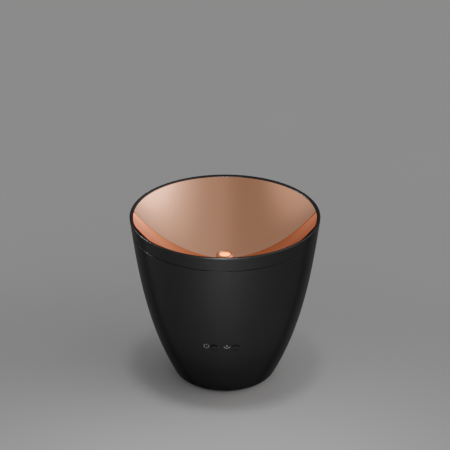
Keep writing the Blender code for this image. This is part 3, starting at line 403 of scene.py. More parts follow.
NOISE_RANGE = (0.3, 0.7)
TURN_RANGE = (0.18, 0.62)
BLACK = ((0.0034, 0.0033, 0.0034), (0.0046, 0.0045, 0.0046))
KEY_BLACK = ((0.0036, 0.0036, 0.0036), (0.0048, 0.0048, 0.0048))
PLASTICS = {
    "inner_black": ("inner_black_plastic", (0.012, 0.012, 0.012), (0.017, 0.017, 0.017), 0.5),
    "grey": ("grey_plastic", (0.24, 0.25, 0.26), (0.30, 0.31, 0.32), 0.5),
    "part_black": ("component_black", (0.02, 0.02, 0.021), (0.03, 0.03, 0.031), 0.42),
    "nylon": ("connector_nylon", (0.70, 0.68, 0.60), (0.78, 0.76, 0.70), 0.45),
    "rubber": ("foot_rubber", (0.016, 0.016, 0.017), (0.030, 0.030, 0.031), 0.78, 1500.0, 0.35),
    "foam": ("duct_foam", (0.05, 0.05, 0.05), (0.11, 0.11, 0.11), 0.95, 1800.0, 0.9),
    "sleeve": ("capacitor_sleeve", (0.02, 0.03, 0.10), (0.03, 0.04, 0.13), 0.28),
    "print": ("printed_symbol", (0.26, 0.26, 0.25), (0.32, 0.32, 0.31), 0.55),
}
LEAD_COLOURS = {
    "red": (0.42, 0.03, 0.02),
    "ivory": (0.66, 0.62, 0.52),
    "yellow": (0.70, 0.42, 0.03),
    "dark": (0.02, 0.02, 0.02),
}


class Finish:
    """A Principled material with a few procedural layers added by name."""

    def __init__(self, name, roughness, metallic=0.0):
        self.material = bpy.data.materials.new(name)
        self.material.use_nodes = True
        self.tree = self.material.node_tree
        self.shader = self.tree.nodes["Principled BSDF"]
        self.shader.inputs["Roughness"].default_value = roughness
        self.shader.inputs["Metallic"].default_value = metallic
        self.coordinates = self.tree.nodes.new("ShaderNodeTexCoord")

    def link(self, output, target):
        self.tree.links.new(output, target)

    def noise(self, scale, detail=3.0):
        texture = self.tree.nodes.new("ShaderNodeTexNoise")
        texture.inputs["Scale"].default_value = scale
        texture.inputs["Detail"].default_value = detail
        self.link(self.coordinates.outputs["Object"], texture.inputs["Vector"])
        return texture.outputs["Fac"]

    def blend(self, factor, first, second, positions=NOISE_RANGE):
        ramp = self.tree.nodes.new("ShaderNodeValToRGB")
        for stop, position, colour in zip(ramp.color_ramp.elements, positions, (first, second)):
            stop.position = position
            stop.color = (*colour, 1.0)
        self.link(factor, ramp.inputs["Fac"])
        self.link(ramp.outputs["Color"], self.shader.inputs["Base Color"])

    def spread(self, factor, least, most):
        self.link(self.mapped(factor, NOISE_RANGE, (least, most)), self.shader.inputs["Roughness"])

    def mapped(self, value, source, result):
        """A value carried from one range to another."""
        scale = self.tree.nodes.new("ShaderNodeMapRange")
        for socket, limit in zip(("From Min", "From Max", "To Min", "To Max"), source + result):
            scale.inputs[socket].default_value = limit
        self.link(value, scale.inputs["Value"])
        return scale.outputs["Result"]

    def bump(self, factor, strength, distance):
        bump = self.tree.nodes.new("ShaderNodeBump")
        bump.inputs["Strength"].default_value = strength
        bump.inputs["Distance"].default_value = distance
        self.link(factor, bump.inputs["Height"])
        self.link(bump.outputs["Normal"], self.shader.inputs["Normal"])

    def soften_edges(self, facing_level, edge_level):
        """Less gloss where the surface turns away, as a fine satin texture has."""
        weight = self.tree.nodes.new("ShaderNodeLayerWeight")
        level = self.mapped(weight.outputs["Facing"], TURN_RANGE, (facing_level, edge_level))
        self.link(level, self.shader.inputs["Specular IOR Level"])

    def glow(self, colour, strength):
        self.shader.inputs["Emission Color"].default_value = (*colour, 1.0)
        self.shader.inputs["Emission Strength"].default_value = strength


def plastic(name, dark, light, rough, grain=2600.0, strength=0.10, spread=0.05):
    """Moulded plastic: faint colour drift, fine spark-eroded grain, uneven gloss."""
    finish = Finish(name, rough)
    finish.blend(finish.noise(60.0), dark, light)
    finish.spread(finish.noise(240.0, 4.0), rough - spread, rough + spread)
    finish.bump(finish.noise(grain, 2.0), strength, 0.03 * MM)
    return finish


def satin(name, colours, facing_level):
    """The outside's smooth black plastic."""
    finish = plastic(name, *colours, 0.34, grain=6500.0, strength=0.02, spread=0.02)
    finish.soften_edges(facing_level, 0.04)
    return finish.material


def make_materials():
    made = {
        "black": satin("satin_black_plastic", BLACK, 0.60),
        "button": satin("button_black", KEY_BLACK, 0.55),
    }
    for key, values in PLASTICS.items():
        made[key] = plastic(*values).material
    for label, colour in LEAD_COLOURS.items():
        lighter = tuple(min(1.0, value * 1.2) for value in colour)
        made["lead_" + label] = plastic("lead_" + label, colour, lighter, 0.5).material
    made["copper"] = copper_mirror()
    made["frosted"] = frosted("frosted_plastic", (0.74, 0.77, 0.77), 0.35)
    made["silicone"] = frosted("milky_silicone", (0.66, 0.66, 0.64), 0.5)
    made["steel"] = metal("zinc_steel", (0.52, 0.52, 0.50), (0.66, 0.66, 0.63), 0.32)
    made["piezo"] = metal("polished_steel", (0.66, 0.65, 0.62), (0.74, 0.73, 0.70), 0.16)
    made["board"] = circuit_board()
    made["lamp"] = amber_lamp()
    # Painted glow for the sleeve in the outlet's bore, which is no lamp
    made["glow"] = painted_outlet_glow()
    return made


def copper_mirror():
    """Polished copper plating, with very slight waviness and a few softer patches."""
    finish = Finish("copper_mirror", 0.06, 1.0)
    finish.blend(finish.noise(35.0), (0.940, 0.458, 0.268), (0.950, 0.472, 0.282))
    finish.spread(finish.noise(90.0, 5.0), 0.020, 0.040)
    finish.bump(finish.noise(28.0, 1.0), 0.08, 0.04 * MM)
    return finish.material


def frosted(name, colour, rough):
    finish = Finish(name, rough)
    darker = tuple(value * 0.92 for value in colour)
    finish.blend(finish.noise(80.0), darker, colour)
    finish.spread(finish.noise(300.0), rough - 0.06, rough + 0.08)
    finish.bump(finish.noise(2200.0), 0.15, 0.03 * MM)
    finish.shader.inputs["Transmission Weight"].default_value = 0.25
    finish.shader.inputs["IOR"].default_value = 1.49
    return finish.material


def metal(name, dark, light, rough):
    finish = Finish(name, rough, 1.0)
    finish.blend(finish.noise(400.0, 4.0), dark, light)
    finish.spread(finish.noise(900.0), rough - 0.07, rough + 0.1)
    finish.bump(finish.noise(1800.0), 0.12, 0.02 * MM)
    return finish.material


def circuit_board():
    finish = Finish("circuit_board", 0.4)
    cells = finish.tree.nodes.new("ShaderNodeTexVoronoi")
    cells.inputs["Scale"].default_value = 320.0
    cells.feature = "DISTANCE_TO_EDGE"
    finish.link(finish.coordinates.outputs["Object"], cells.inputs["Vector"])
    tracks = (0.030, 0.150, 0.060)
    board = (0.012, 0.085, 0.034)
    finish.blend(cells.outputs["Distance"], tracks, board, positions=(0.10, 0.16))
    finish.bump(finish.noise(1500.0), 0.1, 0.02 * MM)
    return finish.material


def amber_lamp():
    finish = Finish("amber_lamp", 0.2)
    finish.blend(finish.noise(500.0), (0.90, 0.40, 0.06), (1.0, 0.50, 0.10))
    finish.glow((1.0, 0.42, 0.08), 6.0)
    return finish.material


def painted_outlet_glow():
    """Inside of the mist outlet: painted glow, a warm colour and emission on a plain sleeve that stand
    in for the amber lamplight from the lamps under the tank.
    """
    finish = Finish("outlet_painted_lamplight", 0.5)
    finish.blend(finish.noise(300.0), (0.95, 0.55, 0.20), (1.0, 0.62, 0.28))
    # Painted lamplight: this emission is on a part that is no lamp
    finish.glow((1.0, 0.35, 0.002), 2.5)
    return finish.material


# ---------------------------------------------------------------- lid


def lid_band_profile():
    """Rim band: face, seam edge, plug that drops into the shell, dish seat and lip."""
    top = RIM_TOP
    shoulder = top - 1.0 * MM
    soft = 0.25 * MM
    small = 0.2 * MM
    plug_outer = 66.3 * MM
    plug_inner = 64.6 * MM
    plug_low = low("lid_band").z
    ledge = 120.3 * MM
    seat = DISH_RADIUS + GAP
    lip = BOWL_EDGE.x + GAP
    face = outside_points(shoulder, SEAM_TOP + soft, 24)
    under = rounded((
        face[-1],
        (outside_radius(SEAM_TOP), SEAM_TOP, soft),
        (plug_outer, SEAM_TOP, small),
        (plug_outer, plug_low, 0.4 * MM),
        (plug_inner, plug_low, 0.4 * MM),
        (plug_inner, ledge, small),
        (seat, ledge, small),
        (seat, BOWL_EDGE.y - 4.7 * MM, small),
        (lip, BOWL_EDGE.y - 2.3 * MM, small),
        (lip, BOWL_EDGE.y + 0.1 * MM, 0.3 * MM),
        (lip + 0.7 * MM, top, 0.55 * MM),
        (face[0].x - 0.1 * MM, top, 0.35 * MM),
        face[0],
    ), segments=6)
    return face + under[1:-1]


def make_lid(finish):
    band = turned("rim_band", lid_band_profile(), finish["black"])
    dress(band, "lid", "black_plastic", "lid_band")
    make_dish(finish)
    make_bowl(finish)
    make_outlet(finish)
    make_lid_underside(finish)


def make_dish(finish):
    """Backing under the copper: it carries the bowl and holds the outlet in a spigot."""
    seat = BOWL_THICKNESS + GAP
    edge = DISH_RADIUS
    bore = OUTLET_RADIUS + GAP
    soft = 0.3 * MM
    foot = rounded((
        (edge, 124.0 * MM),
        (edge, 120.6 * MM, soft),
        (64.6 * MM, 120.6 * MM, soft),
        (63.6 * MM, 121.0 * MM),
    ))[1:-1]
    under = dish_points(seat + DISH_WALL, 63.8 * MM, SPIGOT_RADIUS + soft, 60)
    end = rounded((
        (SPIGOT_RADIUS, under[-1].y),
        (SPIGOT_RADIUS, SPIGOT_BOTTOM, soft),
        (bore, SPIGOT_BOTTOM, soft),
        (bore, SPIGOT_BOTTOM + 5.0 * MM),
    ))
    over = dish_points(seat, bore, edge, 60)
    dish = turned("bowl_backing", foot + under + end[:-1] + over, finish["inner_black"])
    dress(dish, "lid", "black_plastic", "lid_dish")


def make_bowl(finish):
    mirror = list(reversed(curve_points(bowl_curve(), 120)))
    back = below_bowl(BOWL_THICKNESS, 60)
    back[0] = Vector((BOWL_EDGE.x, BOWL_EDGE.y - BOWL_THICKNESS / math.cos(BOWL_EDGE_SLOPE)))
    back[-1] = Vector((BOWL_MOUTH.x, BOWL_MOUTH.y - BOWL_THICKNESS))
    bowl = turned("copper_bowl", back + mirror, finish["copper"], steps=256)
    dress(bowl, "lid", "copper_finish", "reflector_bowl")


def make_outlet(finish):
    """Rolled copper mouthpiece, with a sleeve in its bore that the mist comes up through; the sleeve
    shows painted lamplight, an emission standing in for the glow from below.
    """
    top = OUTLET_TOP
    outer = OUTLET_RADIUS
    bore = OUTLET_BORE
    roll = (outer - bore) / 2.0
    centre = Vector((bore + roll, top - roll))
    bead = [
        centre + roll * Vector((math.cos(angle), math.sin(angle)))
        for angle in np.linspace(math.pi, 0.0, 20)
    ]
    bottom = low("outlet_collar").z
    profile = bead + rounded(((outer, bottom + 0.3 * MM), (outer, bottom), (bore, bottom)))
    collar = turned("outlet_mouthpiece", profile, finish["copper"], steps=128)
    dress(collar, "lid", "copper_finish", "outlet_collar")
    lining_outer = bore - 0.05 * MM
    lining_inner = bore - 0.35 * MM
    lining_top = top - roll - 0.2 * MM
    lining_low = bottom + 0.5 * MM
    lining = [
        (lining_outer, lining_top),
        (lining_outer, lining_low),
        (lining_inner, lining_low),
        (lining_inner, lining_top),
    ]
    # Painted glow: the sleeve is no lamp, its emission stands in for the lamps' light from below
    sleeve = turned("outlet_sleeve_painted_glow", lining, finish["glow"], steps=96)
    dress(sleeve, "lid", "frosted_plastic")


def make_lid_underside(finish):
    neck = 8.7 * MM
    wall = 1.4 * MM
    top = high("mist_chimney").z
    bottom = low("mist_chimney").z
    flare = 14.0 * MM
    shoulder = SPIGOT_BOTTOM
    corners = (
        (neck + wall, top, 0.3 * MM),
        (neck + wall, shoulder, 1.2 * MM),
        (flare + wall, bottom, 0.5 * MM),
        (flare, bottom, 0.5 * MM),
        (neck, shoulder, 0.4 * MM),
        (neck, top, 0.3 * MM),
    )
    chimney = turned("mist_gatherer", rounded(corners, closed=True), finish["frosted"], steps=128)
    dress(chimney, "lid", "frosted_plastic", "mist_chimney")
    ring_low, ring_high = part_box("lid_seal")
    outer = 64.3 * MM
    inner = 62.2 * MM
    soft = 0.25 * MM
    corners = (
        (outer, ring_high.z, soft),
        (outer, ring_low.z, soft),
        (inner, ring_low.z, soft),
        (inner, ring_high.z, soft),
    )
    seal = turned("lid_gasket", rounded(corners, closed=True), finish["silicone"])
    dress(seal, "lid", "silicone", "lid_seal")


# ---------------------------------------------------------------- housing


def shell_profile():
    """Shell: outside, foot fillet, ledge for the bottom cover, inside and the tank's shelf."""
    throat = 35.75 * MM
    cover_stop = 34.4 * MM
    bottom = SHELL_BOTTOM
    fillet = 2.2 * MM
    small = 0.2 * MM
    soft = 0.3 * MM
    outer = outside_points(SHELL_TOP - soft, bottom + fillet, 90)
    corner = Vector((outside_radius(bottom), bottom))
    foot = curve_points((outer[-1], corner, corner - Vector((fillet, 0.0))), 12)
    ledge = rounded((
        (throat + 0.5 * MM, bottom),
        (throat, bottom, 0.25 * MM),
        (throat, 3.5 * MM, 0.1 * MM),
        (cover_stop, 3.5 * MM, small),
        (cover_stop, 5.3 * MM, small),
        (38.0 * MM, 9.0 * MM, 1.0 * MM),
    ))[:-1]
    wall = inside_points(9.0 * MM, 106.0 * MM, 40)
    shelf_edge = 64.2 * MM
    recess = 66.9 * MM
    shelf = rounded((
        wall[-1],
        (shelf_edge, 112.2 * MM, 0.6 * MM),
        (shelf_edge, 114.7 * MM, small),
        (recess, 114.7 * MM, small),
        (recess, SHELL_TOP, soft),
        (outside_radius(SHELL_TOP), SHELL_TOP, soft),
        outer[0],
    ))[1:-1]
    return outer + foot[1:] + ledge + wall + shelf


def make_shell(finish):
    shell = turned("tapered_shell", shell_profile(), finish["black"])
    cutters = [
        level_rod(side * BUTTON_X, BUTTON_Z, -62.0 * MM, -48.0 * MM, BUTTON_HOLE_RADIUS)
        for side in (-1, 1)
    ]
    cutters.append(level_rod(0.0, JACK_Z, 34.0 * MM, 50.0 * MM, JACK_HOLE_RADIUS))
    carve(shell, cutters)
    true_normals(shell, outside_normal)
    dress(shell, "housing", "black_plastic", "outer_shell")


SCOOP_BLEND = 0.15
SCOOP_RISE = 1.5
KEY_FACE_RADII = (0.3, 0.8, 1.3, 1.7, 1.95, 2.05, 2.25, 2.45, 2.65, 2.76)
# Radius and place along Y of the cap's back, the flange and the stem, in millimetres
KEY_BACK = (
    (2.85, -52.4), (3.8, -52.4), (3.9, -52.3), (3.9, -51.5), (3.8, -51.4),
    (2.1, -51.4), (2.0, -51.3), (2.0, -48.6), (1.8, -48.4),
)


def ring_across(x, radius, depth):
    """Circle about an axis along Y at the buttons' height."""
    angles = np.linspace(0.0, 2.0 * math.pi, SMALL_STEPS, endpoint=False)
    return [Vector((x + radius * math.cos(a), depth, BUTTON_Z + radius * math.sin(a))) for a in angles]


def key_face(x, radius):
    """Ring on a key's face: it follows the shell, and dips in a crescent along its top edge."""
    ring = ring_across(x, radius, 0.0)
    dip = max(0.0, radius - SCOOP_START) / (BUTTON_RADIUS - SCOOP_START)
    for point in ring:
        body = outside_radius(point.z) - BUTTON_RECESS
        rise = (point.z - BUTTON_Z) / radius
        share = min(1.0, max(0.0, SCOOP_BLEND + SCOOP_RISE * rise))
        point.y = -math.sqrt(body ** 2 - point.x ** 2) + SCOOP_DEPTH * dip * share
    return ring


def make_button(name, node, body, finish):
    """Cap with a face flush with the shell, a flange behind it and a stem, pressed along Y."""
    x = (low(node).x + high(node).x) / 2.0
    soft = 0.12 * MM
    rings = [key_face(x, radius * MM) for radius in KEY_FACE_RADII]
    edge = key_face(x, BUTTON_RADIUS)
    rings.append([point + Vector((0.0, soft, 0.0)) for point in edge])
    rings += [ring_across(x, radius * MM, depth * MM) for radius, depth in KEY_BACK]
    button = from_bmesh(name, loft_bmesh(rings), finish["button"])
    dress(button, body, "black_plastic", node)


INK_PROUD = 0.04 * MM
INK_DEPTH = -0.03 * MM
SYMBOL_RISE = 0.9 * MM


def on_shell(across, up, lift):
    """Point on the shell's front, a distance across and up from the symbols' middle."""
    z = BUTTON_Z + SYMBOL_RISE + up
    radius = outside_radius(z) + lift
    angle = across / radius
    return Vector((radius * math.sin(angle), -radius * math.cos(angle), z))


def ink_stroke(path, width):
    """A band of ink along a flat path (across, up), wrapped on the shell."""
    rows = []
    for index, place in enumerate(path):
        before = path[max(0, index - 1)]
        after = path[min(len(path) - 1, index + 1)]
        run = (after - before).normalized()
        side = Vector((-run.y, run.x)) * width / 2.0
        rows.append([
            on_shell(*(place + side), INK_PROUD),
            on_shell(*(place - side), INK_PROUD),
            on_shell(*(place - side), INK_DEPTH),
            on_shell(*(place + side), INK_DEPTH),
        ])
    return loft_bmesh(rows)


def arc(centre, radius, start, end, count=40):
    angles = np.radians(np.linspace(start, end, count))
    return [Vector((centre[0] + radius * math.cos(a), centre[1] + radius * math.sin(a))) for a in angles]


def make_symbols(finish):
    """Generic power and lamp symbols, each to the left of its button."""
    power_x = -13.85 * MM
    open_ring = ink_stroke(arc((power_x, 0.0), 1.80 * MM, 128, 412), 0.5 * MM)
    bar = ink_stroke([Vector((power_x, up * MM)) for up in np.linspace(0.9, 2.15, 8)], 0.5 * MM)
    light_x = 1.4 * MM
    dot = ink_stroke(arc((light_x, 1.05 * MM), 0.34 * MM, 0, 360, 24), 0.68 * MM)
    bowl = ink_stroke(arc((light_x, 1.15 * MM), 2.30 * MM, 198, 342), 0.62 * MM)
    for name, strokes in (("power_symbol", (open_ring, bar)), ("light_symbol", (dot, bowl))):
        dress(from_bmesh(name, merged(strokes), finish["print"]), "housing", "nylon")


# ---------------------------------------------------------------- tank


TANK_BEND = Vector((54.0 * MM, 76.0 * MM))
TANK_SIDE_TOP = Vector((60.8 * MM, 104.0 * MM))
# Height in millimetres, and reach to each side of the front in degrees
FILL_LINES = {"fill_line_upper": (85.0, 62.0), "fill_line_lower": (76.0, 40.0)}
LINE_HALF_WIDTH = 0.35 * MM
LINE_SUNK = 0.2 * MM
LINE_PROUD = 0.3 * MM
LINE_TAPER = 0.6


def tank_wall(set_out, count=24):
    shift = Vector((set_out, 0.0))
    return curve_points([point + shift for point in (TANK_KNUCKLE, TANK_BEND, TANK_SIDE_TOP)], count)


def tower_section(margin, corner, height):
    return rounded_ring(TOWER_HALF_X + margin, TOWER_HALF_Y + margin, corner, TOWER_CENTRE, height)


def make_tank(finish):
    """Frosted water tank: rim flange, curved wall, moulded fill lines and the disc's well."""
    flange = 66.5 * MM
    mouth = 61.4 * MM
    well = 8.0 * MM
    small = 0.2 * MM
    soft = 0.3 * MM
    top = high("water_tank").z
    flange_low = top - 2.0 * MM
    floor_low = low("water_tank").z
    outside = rounded((
        (mouth, flange_low),
        (mouth, top, 0.4 * MM),
        (flange, top, soft),
        (flange, flange_low, soft),
        (mouth + TANK_WALL, flange_low, 0.5 * MM),
        (mouth + TANK_WALL, 106.0 * MM),
    ))
    underside = rounded((
        TANK_KNUCKLE + Vector((TANK_WALL, 0.0)),
        (TANK_KNUCKLE.x, floor_low + 2.8 * MM, 1.5 * MM),
        (36.0 * MM, floor_low, 1.0 * MM),
        (well, floor_low, small),
        (well, floor_low + 1.2 * MM, small),
        (well + 5.0 * MM, floor_low + 2.4 * MM, 2.0 * MM),
        (35.0 * MM, floor_low + 4.0 * MM, 2.5 * MM),
        TANK_KNUCKLE,
    ))
    profile = outside[1:] + tank_wall(TANK_WALL)[::-1] + underside[1:-1] + tank_wall(0.0)
    tank = turned("frosted_tank", profile, finish["frosted"])
    around = TOWER_WALL + GAP
    tower_hole = slot_bmesh(TOWER_HALF_X + around, TOWER_HALF_Y + around, 2.2 * MM, TOWER_CENTRE,
                            48.0 * MM, 62.0 * MM)
    carve(tank, [tower_hole])
    dress(tank, "housing", "frosted_plastic", "water_tank")
    for name, (level, reach) in FILL_LINES.items():
        make_fill_line(name, level * MM, reach, finish)


def make_fill_line(name, level, reach, finish):
    """Raised level mark on the tank's wall, over an arc at the front."""
    wall = tank_wall(0.0, 200)
    heights = [point.y for point in wall]
    radii = [point.x for point in wall]
    narrow = LINE_TAPER * LINE_HALF_WIDTH
    section = (
        (-LINE_HALF_WIDTH, LINE_SUNK),
        (LINE_HALF_WIDTH, LINE_SUNK),
        (narrow, -LINE_PROUD),
        (-narrow, -LINE_PROUD),
    )
    rings = []
    for angle in np.radians(np.linspace(-90.0 - reach, -90.0 + reach, 60)):
        ring = []
        for rise, outwards in section:
            radius = float(np.interp(level + rise, heights, radii)) + outwards
            ring.append(Vector((radius * math.cos(angle), radius * math.sin(angle), level + rise)))
        rings.append(ring)
    line = from_bmesh(name, loft_bmesh(rings), finish["frosted"])
    dress(line, "housing", "frosted_plastic")


def make_tower(finish):
    """Rounded air tube that stands in the tank, with its weld flange."""
    wall = TOWER_WALL
    flange = wall + 1.5 * MM
    bottom = low("air_tower").z
    top = high("air_tower").z
    soft = 0.35 * MM
    slight = 0.3 * soft
    flange_low = 57.3 * MM
    flange_top = 58.4 * MM
    # Margin round the bore, rounding of the corners in millimetres, and height
    sections = (
        (wall, 2.0, bottom),
        (wall, 2.0, flange_low),
        (flange, 3.0, flange_low),
        (flange, 3.0, flange_top - soft),
        (flange - soft, 2.8, flange_top),
        (wall + soft, 2.3, flange_top),
        (wall, 2.0, flange_top + soft),
        (wall, 2.0, top - soft),
        (wall - slight, 1.9, top - slight),
        (wall - soft, 1.7, top),
        (soft, 1.2, top),
        (slight, 1.1, top - slight),
        (0.0, 1.0, top - soft),
        (0.0, 1.0, bottom),
    )
    rings = [tower_section(margin, corner * MM, height) for margin, corner, height in sections]
    tower = from_bmesh("air_tube", loft_bmesh(rings, endless=True), finish["frosted"])
    dress(tower, "housing", "frosted_plastic", "air_tower")


# ---------------------------------------------------------------- underside and socket


BELOW_PLATE = -1.0 * MM
FOOT_SOFT = 0.1 * MM
# Radius and depth of the ring moulded in a foot's tread, in millimetres
TREAD_RING = ((2.5, 0.0), (2.4, 0.25), (2.0, 0.25), (1.9, 0.0))


def middle(node):
    return (low(node) + high(node)) / 2.0


def spots(kind, count):
    """Where a numbered kind of node stands, seen from above."""
    return [middle(f"{kind}_{index}").xy for index in range(1, count + 1)]


def rods(places, bottom, top, radius):
    return [upright_rod(x, y, bottom, top, radius) for x, y in places]


def make_base(finish):
    """Bottom cover: air slots, screw wells, foot recesses, fan pads and the socket's cradle."""
    plate_low = low("base_plate").z
    plate_top = 3.2 * MM
    inside_plate = 2.0 * MM
    above_plate = 7.0 * MM
    radius = 35.3 * MM
    profile = rounded((
        (0.0, plate_top),
        (radius, plate_top, 0.25 * MM),
        (radius, plate_low, 0.5 * MM),
        (0.0, plate_low),
    ))
    plate = turned("bottom_cover", profile, finish["inner_black"], closed=False)
    base_screws = spots("base_screw", 3)
    fan_screws = spots("fan_screw", 2)
    feet = spots("rubber_foot", 4)
    pads = [
        (FAN_CENTRE.x + side_x * FAN_HOLE_OFFSET, FAN_CENTRE.y + side_y * FAN_HOLE_OFFSET)
        for side_x in (-1, 1) for side_y in (-1, 1)
    ]
    bosses = rods(base_screws, inside_plate, top=5.0 * MM, radius=4.2 * MM)
    bosses += rods(pads, inside_plate, top=4.9 * MM, radius=2.6 * MM)
    bosses.append(box_bmesh((-5.0 * MM, 28.5 * MM, 2.5 * MM), (5.0 * MM, 33.5 * MM, 8.7 * MM)))
    carve(plate, [merged(bosses)], "UNION")
    wells = rods(base_screws, BELOW_PLATE, top=3.0 * MM, radius=3.1 * MM)
    wells += rods(fan_screws, BELOW_PLATE, top=2.2 * MM, radius=2.8 * MM)
    wells += rods(feet, BELOW_PLATE, top=1.7 * MM, radius=4.3 * MM)
    carve(plate, [merged(wells), merged(air_slots())])
    holes = rods(base_screws, 0.0, above_plate, radius=1.6 * MM)
    holes += rods(fan_screws, 0.0, above_plate, radius=1.4 * MM)
    carve(plate, [merged(holes)])
    dress(plate, "housing", "black_plastic", "base_plate")


def air_slots():
    """Seven round-ended slots under the fan, shorter to each side."""
    slot_half = 1.2 * MM
    end_radius = 0.99 * slot_half
    pitch = 4.0 * MM
    reach = 13.0 * MM
    slots = []
    for index in range(-3, 4):
        half_length = math.sqrt(reach ** 2 - (0.75 * pitch * index) ** 2)
        centre = (FAN_CENTRE.x + index * pitch, FAN_CENTRE.y)
        slots.append(slot_bmesh(slot_half, half_length, end_radius, centre, BELOW_PLATE, 5.0 * MM))
    return slots


def make_feet(finish):
    """Rubber feet with a softened edge and a moulded ring on the tread."""
    for index in range(1, 5):
        node = f"rubber_foot_{index}"
        centre = middle(node)
        radius = high(node).x - centre.x
        top = high(node).z
        profile = rounded((
            (0.0, top),
            (radius, top, 0.15 * MM),
            (radius, 0.0, 0.6 * MM),
            *((across * MM, depth * MM, FOOT_SOFT) for across, depth in TREAD_RING),
            (0.0, 0.0),
        ))
        shape = turned_bmesh(profile, SMALL_STEPS, closed=False)
        shape.transform(Matrix.Translation((centre.x, centre.y, 0.0)))
        foot = from_bmesh(f"soft_foot_{index}", shape, finish["rubber"])
        dress(foot, "housing", "black_rubber", node)


# Number of screws, height of the head and radius of the thread, in millimetres
SCREW_SIZES = {
    "base_screw": (3, 1.3, 1.6),
    "fan_screw": (2, 1.1, 1.1),
    "retainer_screw": (3, 0.9, 1.1),
    "light_board_screw": (2, 0.9, 1.1),
    "board_screw": (2, 1.0, 1.2),
}
THREAD_CORE = 0.74
THREAD_PITCH = 0.9
RINGS_PER_TURN = 8
TIP_TAPER = 1.2
TIP_WIDTH = 0.2


def thread_ring(centre, core, crest, pitch, height, steps=24):
    """Ring of a screw thread: its radius follows a helix."""
    points = []
    for index in range(steps):
        turn = index / steps
        phase = (height / pitch - turn) % 1.0
        radius = core + (crest - core) * (1.0 - abs(2.0 * phase - 1.0))
        angle = 2.0 * math.pi * turn
        points.append(centre + Vector((radius * math.cos(angle), radius * math.sin(angle), height)))
    return points


def make_screw(node, head_height, crest, finish):
    """Cross-head screw driven upwards: domed pan head and a real helical thread."""
    head_low = low(node).z
    tip = high(node).z
    centre = Vector((*middle(node).xy, 0.0))
    head_radius = (high(node).x - low(node).x) / 2.0
    soft = 0.3 * head_radius
    under_head = head_low + head_height
    pan = rounded((
        (0.0, head_low),
        (0.80 * head_radius, head_low, soft),
        (head_radius, head_low + 0.45 * head_height, soft),
        (head_radius, under_head, 0.1 * MM),
        (0.0, under_head),
    ))
    head = turned_bmesh(pan[::-1], 48, closed=False)
    head.transform(Matrix.Translation(centre))
    screw = from_bmesh(node.replace("screw", "pan_screw"), head, finish["steel"])
    arm = 0.62 * head_radius
    half = 0.13 * head_radius
    recess_top = head_low + 0.62 * head_height
    recess = [
        slot_bmesh(half_x, half_y, 0.9 * half, centre, head_low - MM, recess_top)
        for half_x, half_y in ((arm, half), (half, arm))
    ]
    carve(screw, recess)
    pitch = THREAD_PITCH * crest
    start = head_low + 0.8 * head_height
    shank = []
    for height in np.linspace(start, tip, int(RINGS_PER_TURN * (tip - start) / pitch)):
        taper = min(1.0, (tip - height) / (TIP_TAPER * crest) * (1.0 - TIP_WIDTH) + TIP_WIDTH)
        shank.append(thread_ring(centre, THREAD_CORE * crest * taper, crest * taper, pitch, height))
    carve(screw, [loft_bmesh(shank)], "UNION")
    dress(screw, "housing", "zinc_steel", node)


def make_screws(finish):
    for kind, (count, head_height, crest) in SCREW_SIZES.items():
        for index in range(1, count + 1):
            make_screw(f"{kind}_{index}", head_height * MM, crest * MM, finish)


def make_socket(finish):
    """Power socket: bevelled body, rolled nose, bore and a round-tipped centre pin."""
    front = low("dc_jack").y
    face = high("dc_jack").y
    half_width = 4.5 * MM
    half_height = 5.0 * MM
    bore = 2.9 * MM
    nose_radius = 3.9 * MM
    nose_start = 38.3 * MM
    body_end = 38.6 * MM
    pin_radius = 1.0 * MM
    pin_start = 32.0 * MM
    pin_tip = face - 0.8 * MM
    contact = bore - 0.15 * MM
    soft = 0.35 * MM
    body = box_bmesh(
        (-half_width, front, JACK_Z - half_height),
        (half_width, body_end, JACK_Z + half_height),
        bevel=0.4 * MM,
    )
    body = from_bmesh("socket_body", body, finish["part_black"])
    carve(body, [level_rod(0.0, JACK_Z, 33.0 * MM, 45.0 * MM, bore)])
    dress(body, "housing", "component_black", "dc_jack")
    nose = rounded((
        (bore, nose_start),
        (bore, face, soft),
        (nose_radius, face, soft),
        (nose_radius, nose_start),
    ))
    add_turned_along_y("socket_nose", nose, True, finish["part_black"], "component_black")
    pin = rounded((
        (0.0, pin_tip),
        (pin_radius, pin_tip, 0.7 * MM),
        (pin_radius, pin_start),
        (0.0, pin_start),
    ))
    add_turned_along_y("socket_pin", pin, False, finish["piezo"], "piezo_plate")
    sleeve = [(bore, 34.0 * MM), (bore, 40.5 * MM), (contact, 40.3 * MM), (contact, 34.0 * MM)]
    add_turned_along_y("socket_contact", sleeve, True, finish["piezo"], "piezo_plate")


def add_turned_along_y(name, profile, closed, finish, slot):
    """Piece turned about the socket's axis, from (radius, distance back) points."""
    shape = turned_bmesh([(radius, -back) for radius, back in profile], SMALL_STEPS, closed)
    shape.transform(Matrix.Translation((0.0, 0.0, JACK_Z)) @ Matrix.Rotation(math.radians(90), 4, "X"))
    piece = from_bmesh(name, shape, finish)
    dress(piece, "housing", slot)


# ---------------------------------------------------------------- carried-over nodes


CAD_FINISH = {
    "silicone": ("transducer_seal",),
    "piezo": ("transducer_disc",),
    "grey": ("inner_frame", "transducer_retainer", "air_duct", "button_guide"),
    "board": ("light_board", "main_board", "button_board"),
    "nylon": ("fan_connector", "button_connector", "transducer_connector", "light_connector",
              "power_connector"),
    "part_black": ("fan_housing", "fan_impeller", "drive_inductor", "control_chip", "drive_transistor",
                   "power_switch", "light_switch"),
    "sleeve": ("filter_capacitor",),
    "lamp": ("amber_lamp_1", "amber_lamp_2", "amber_lamp_3"),
    "foam": ("duct_seal",),
    "lead_red": ("fan_lead",),
    "lead_ivory": ("button_lead",),
    "lead_yellow": ("light_lead",),
    "lead_dark": ("transducer_lead", "power_lead"),
}


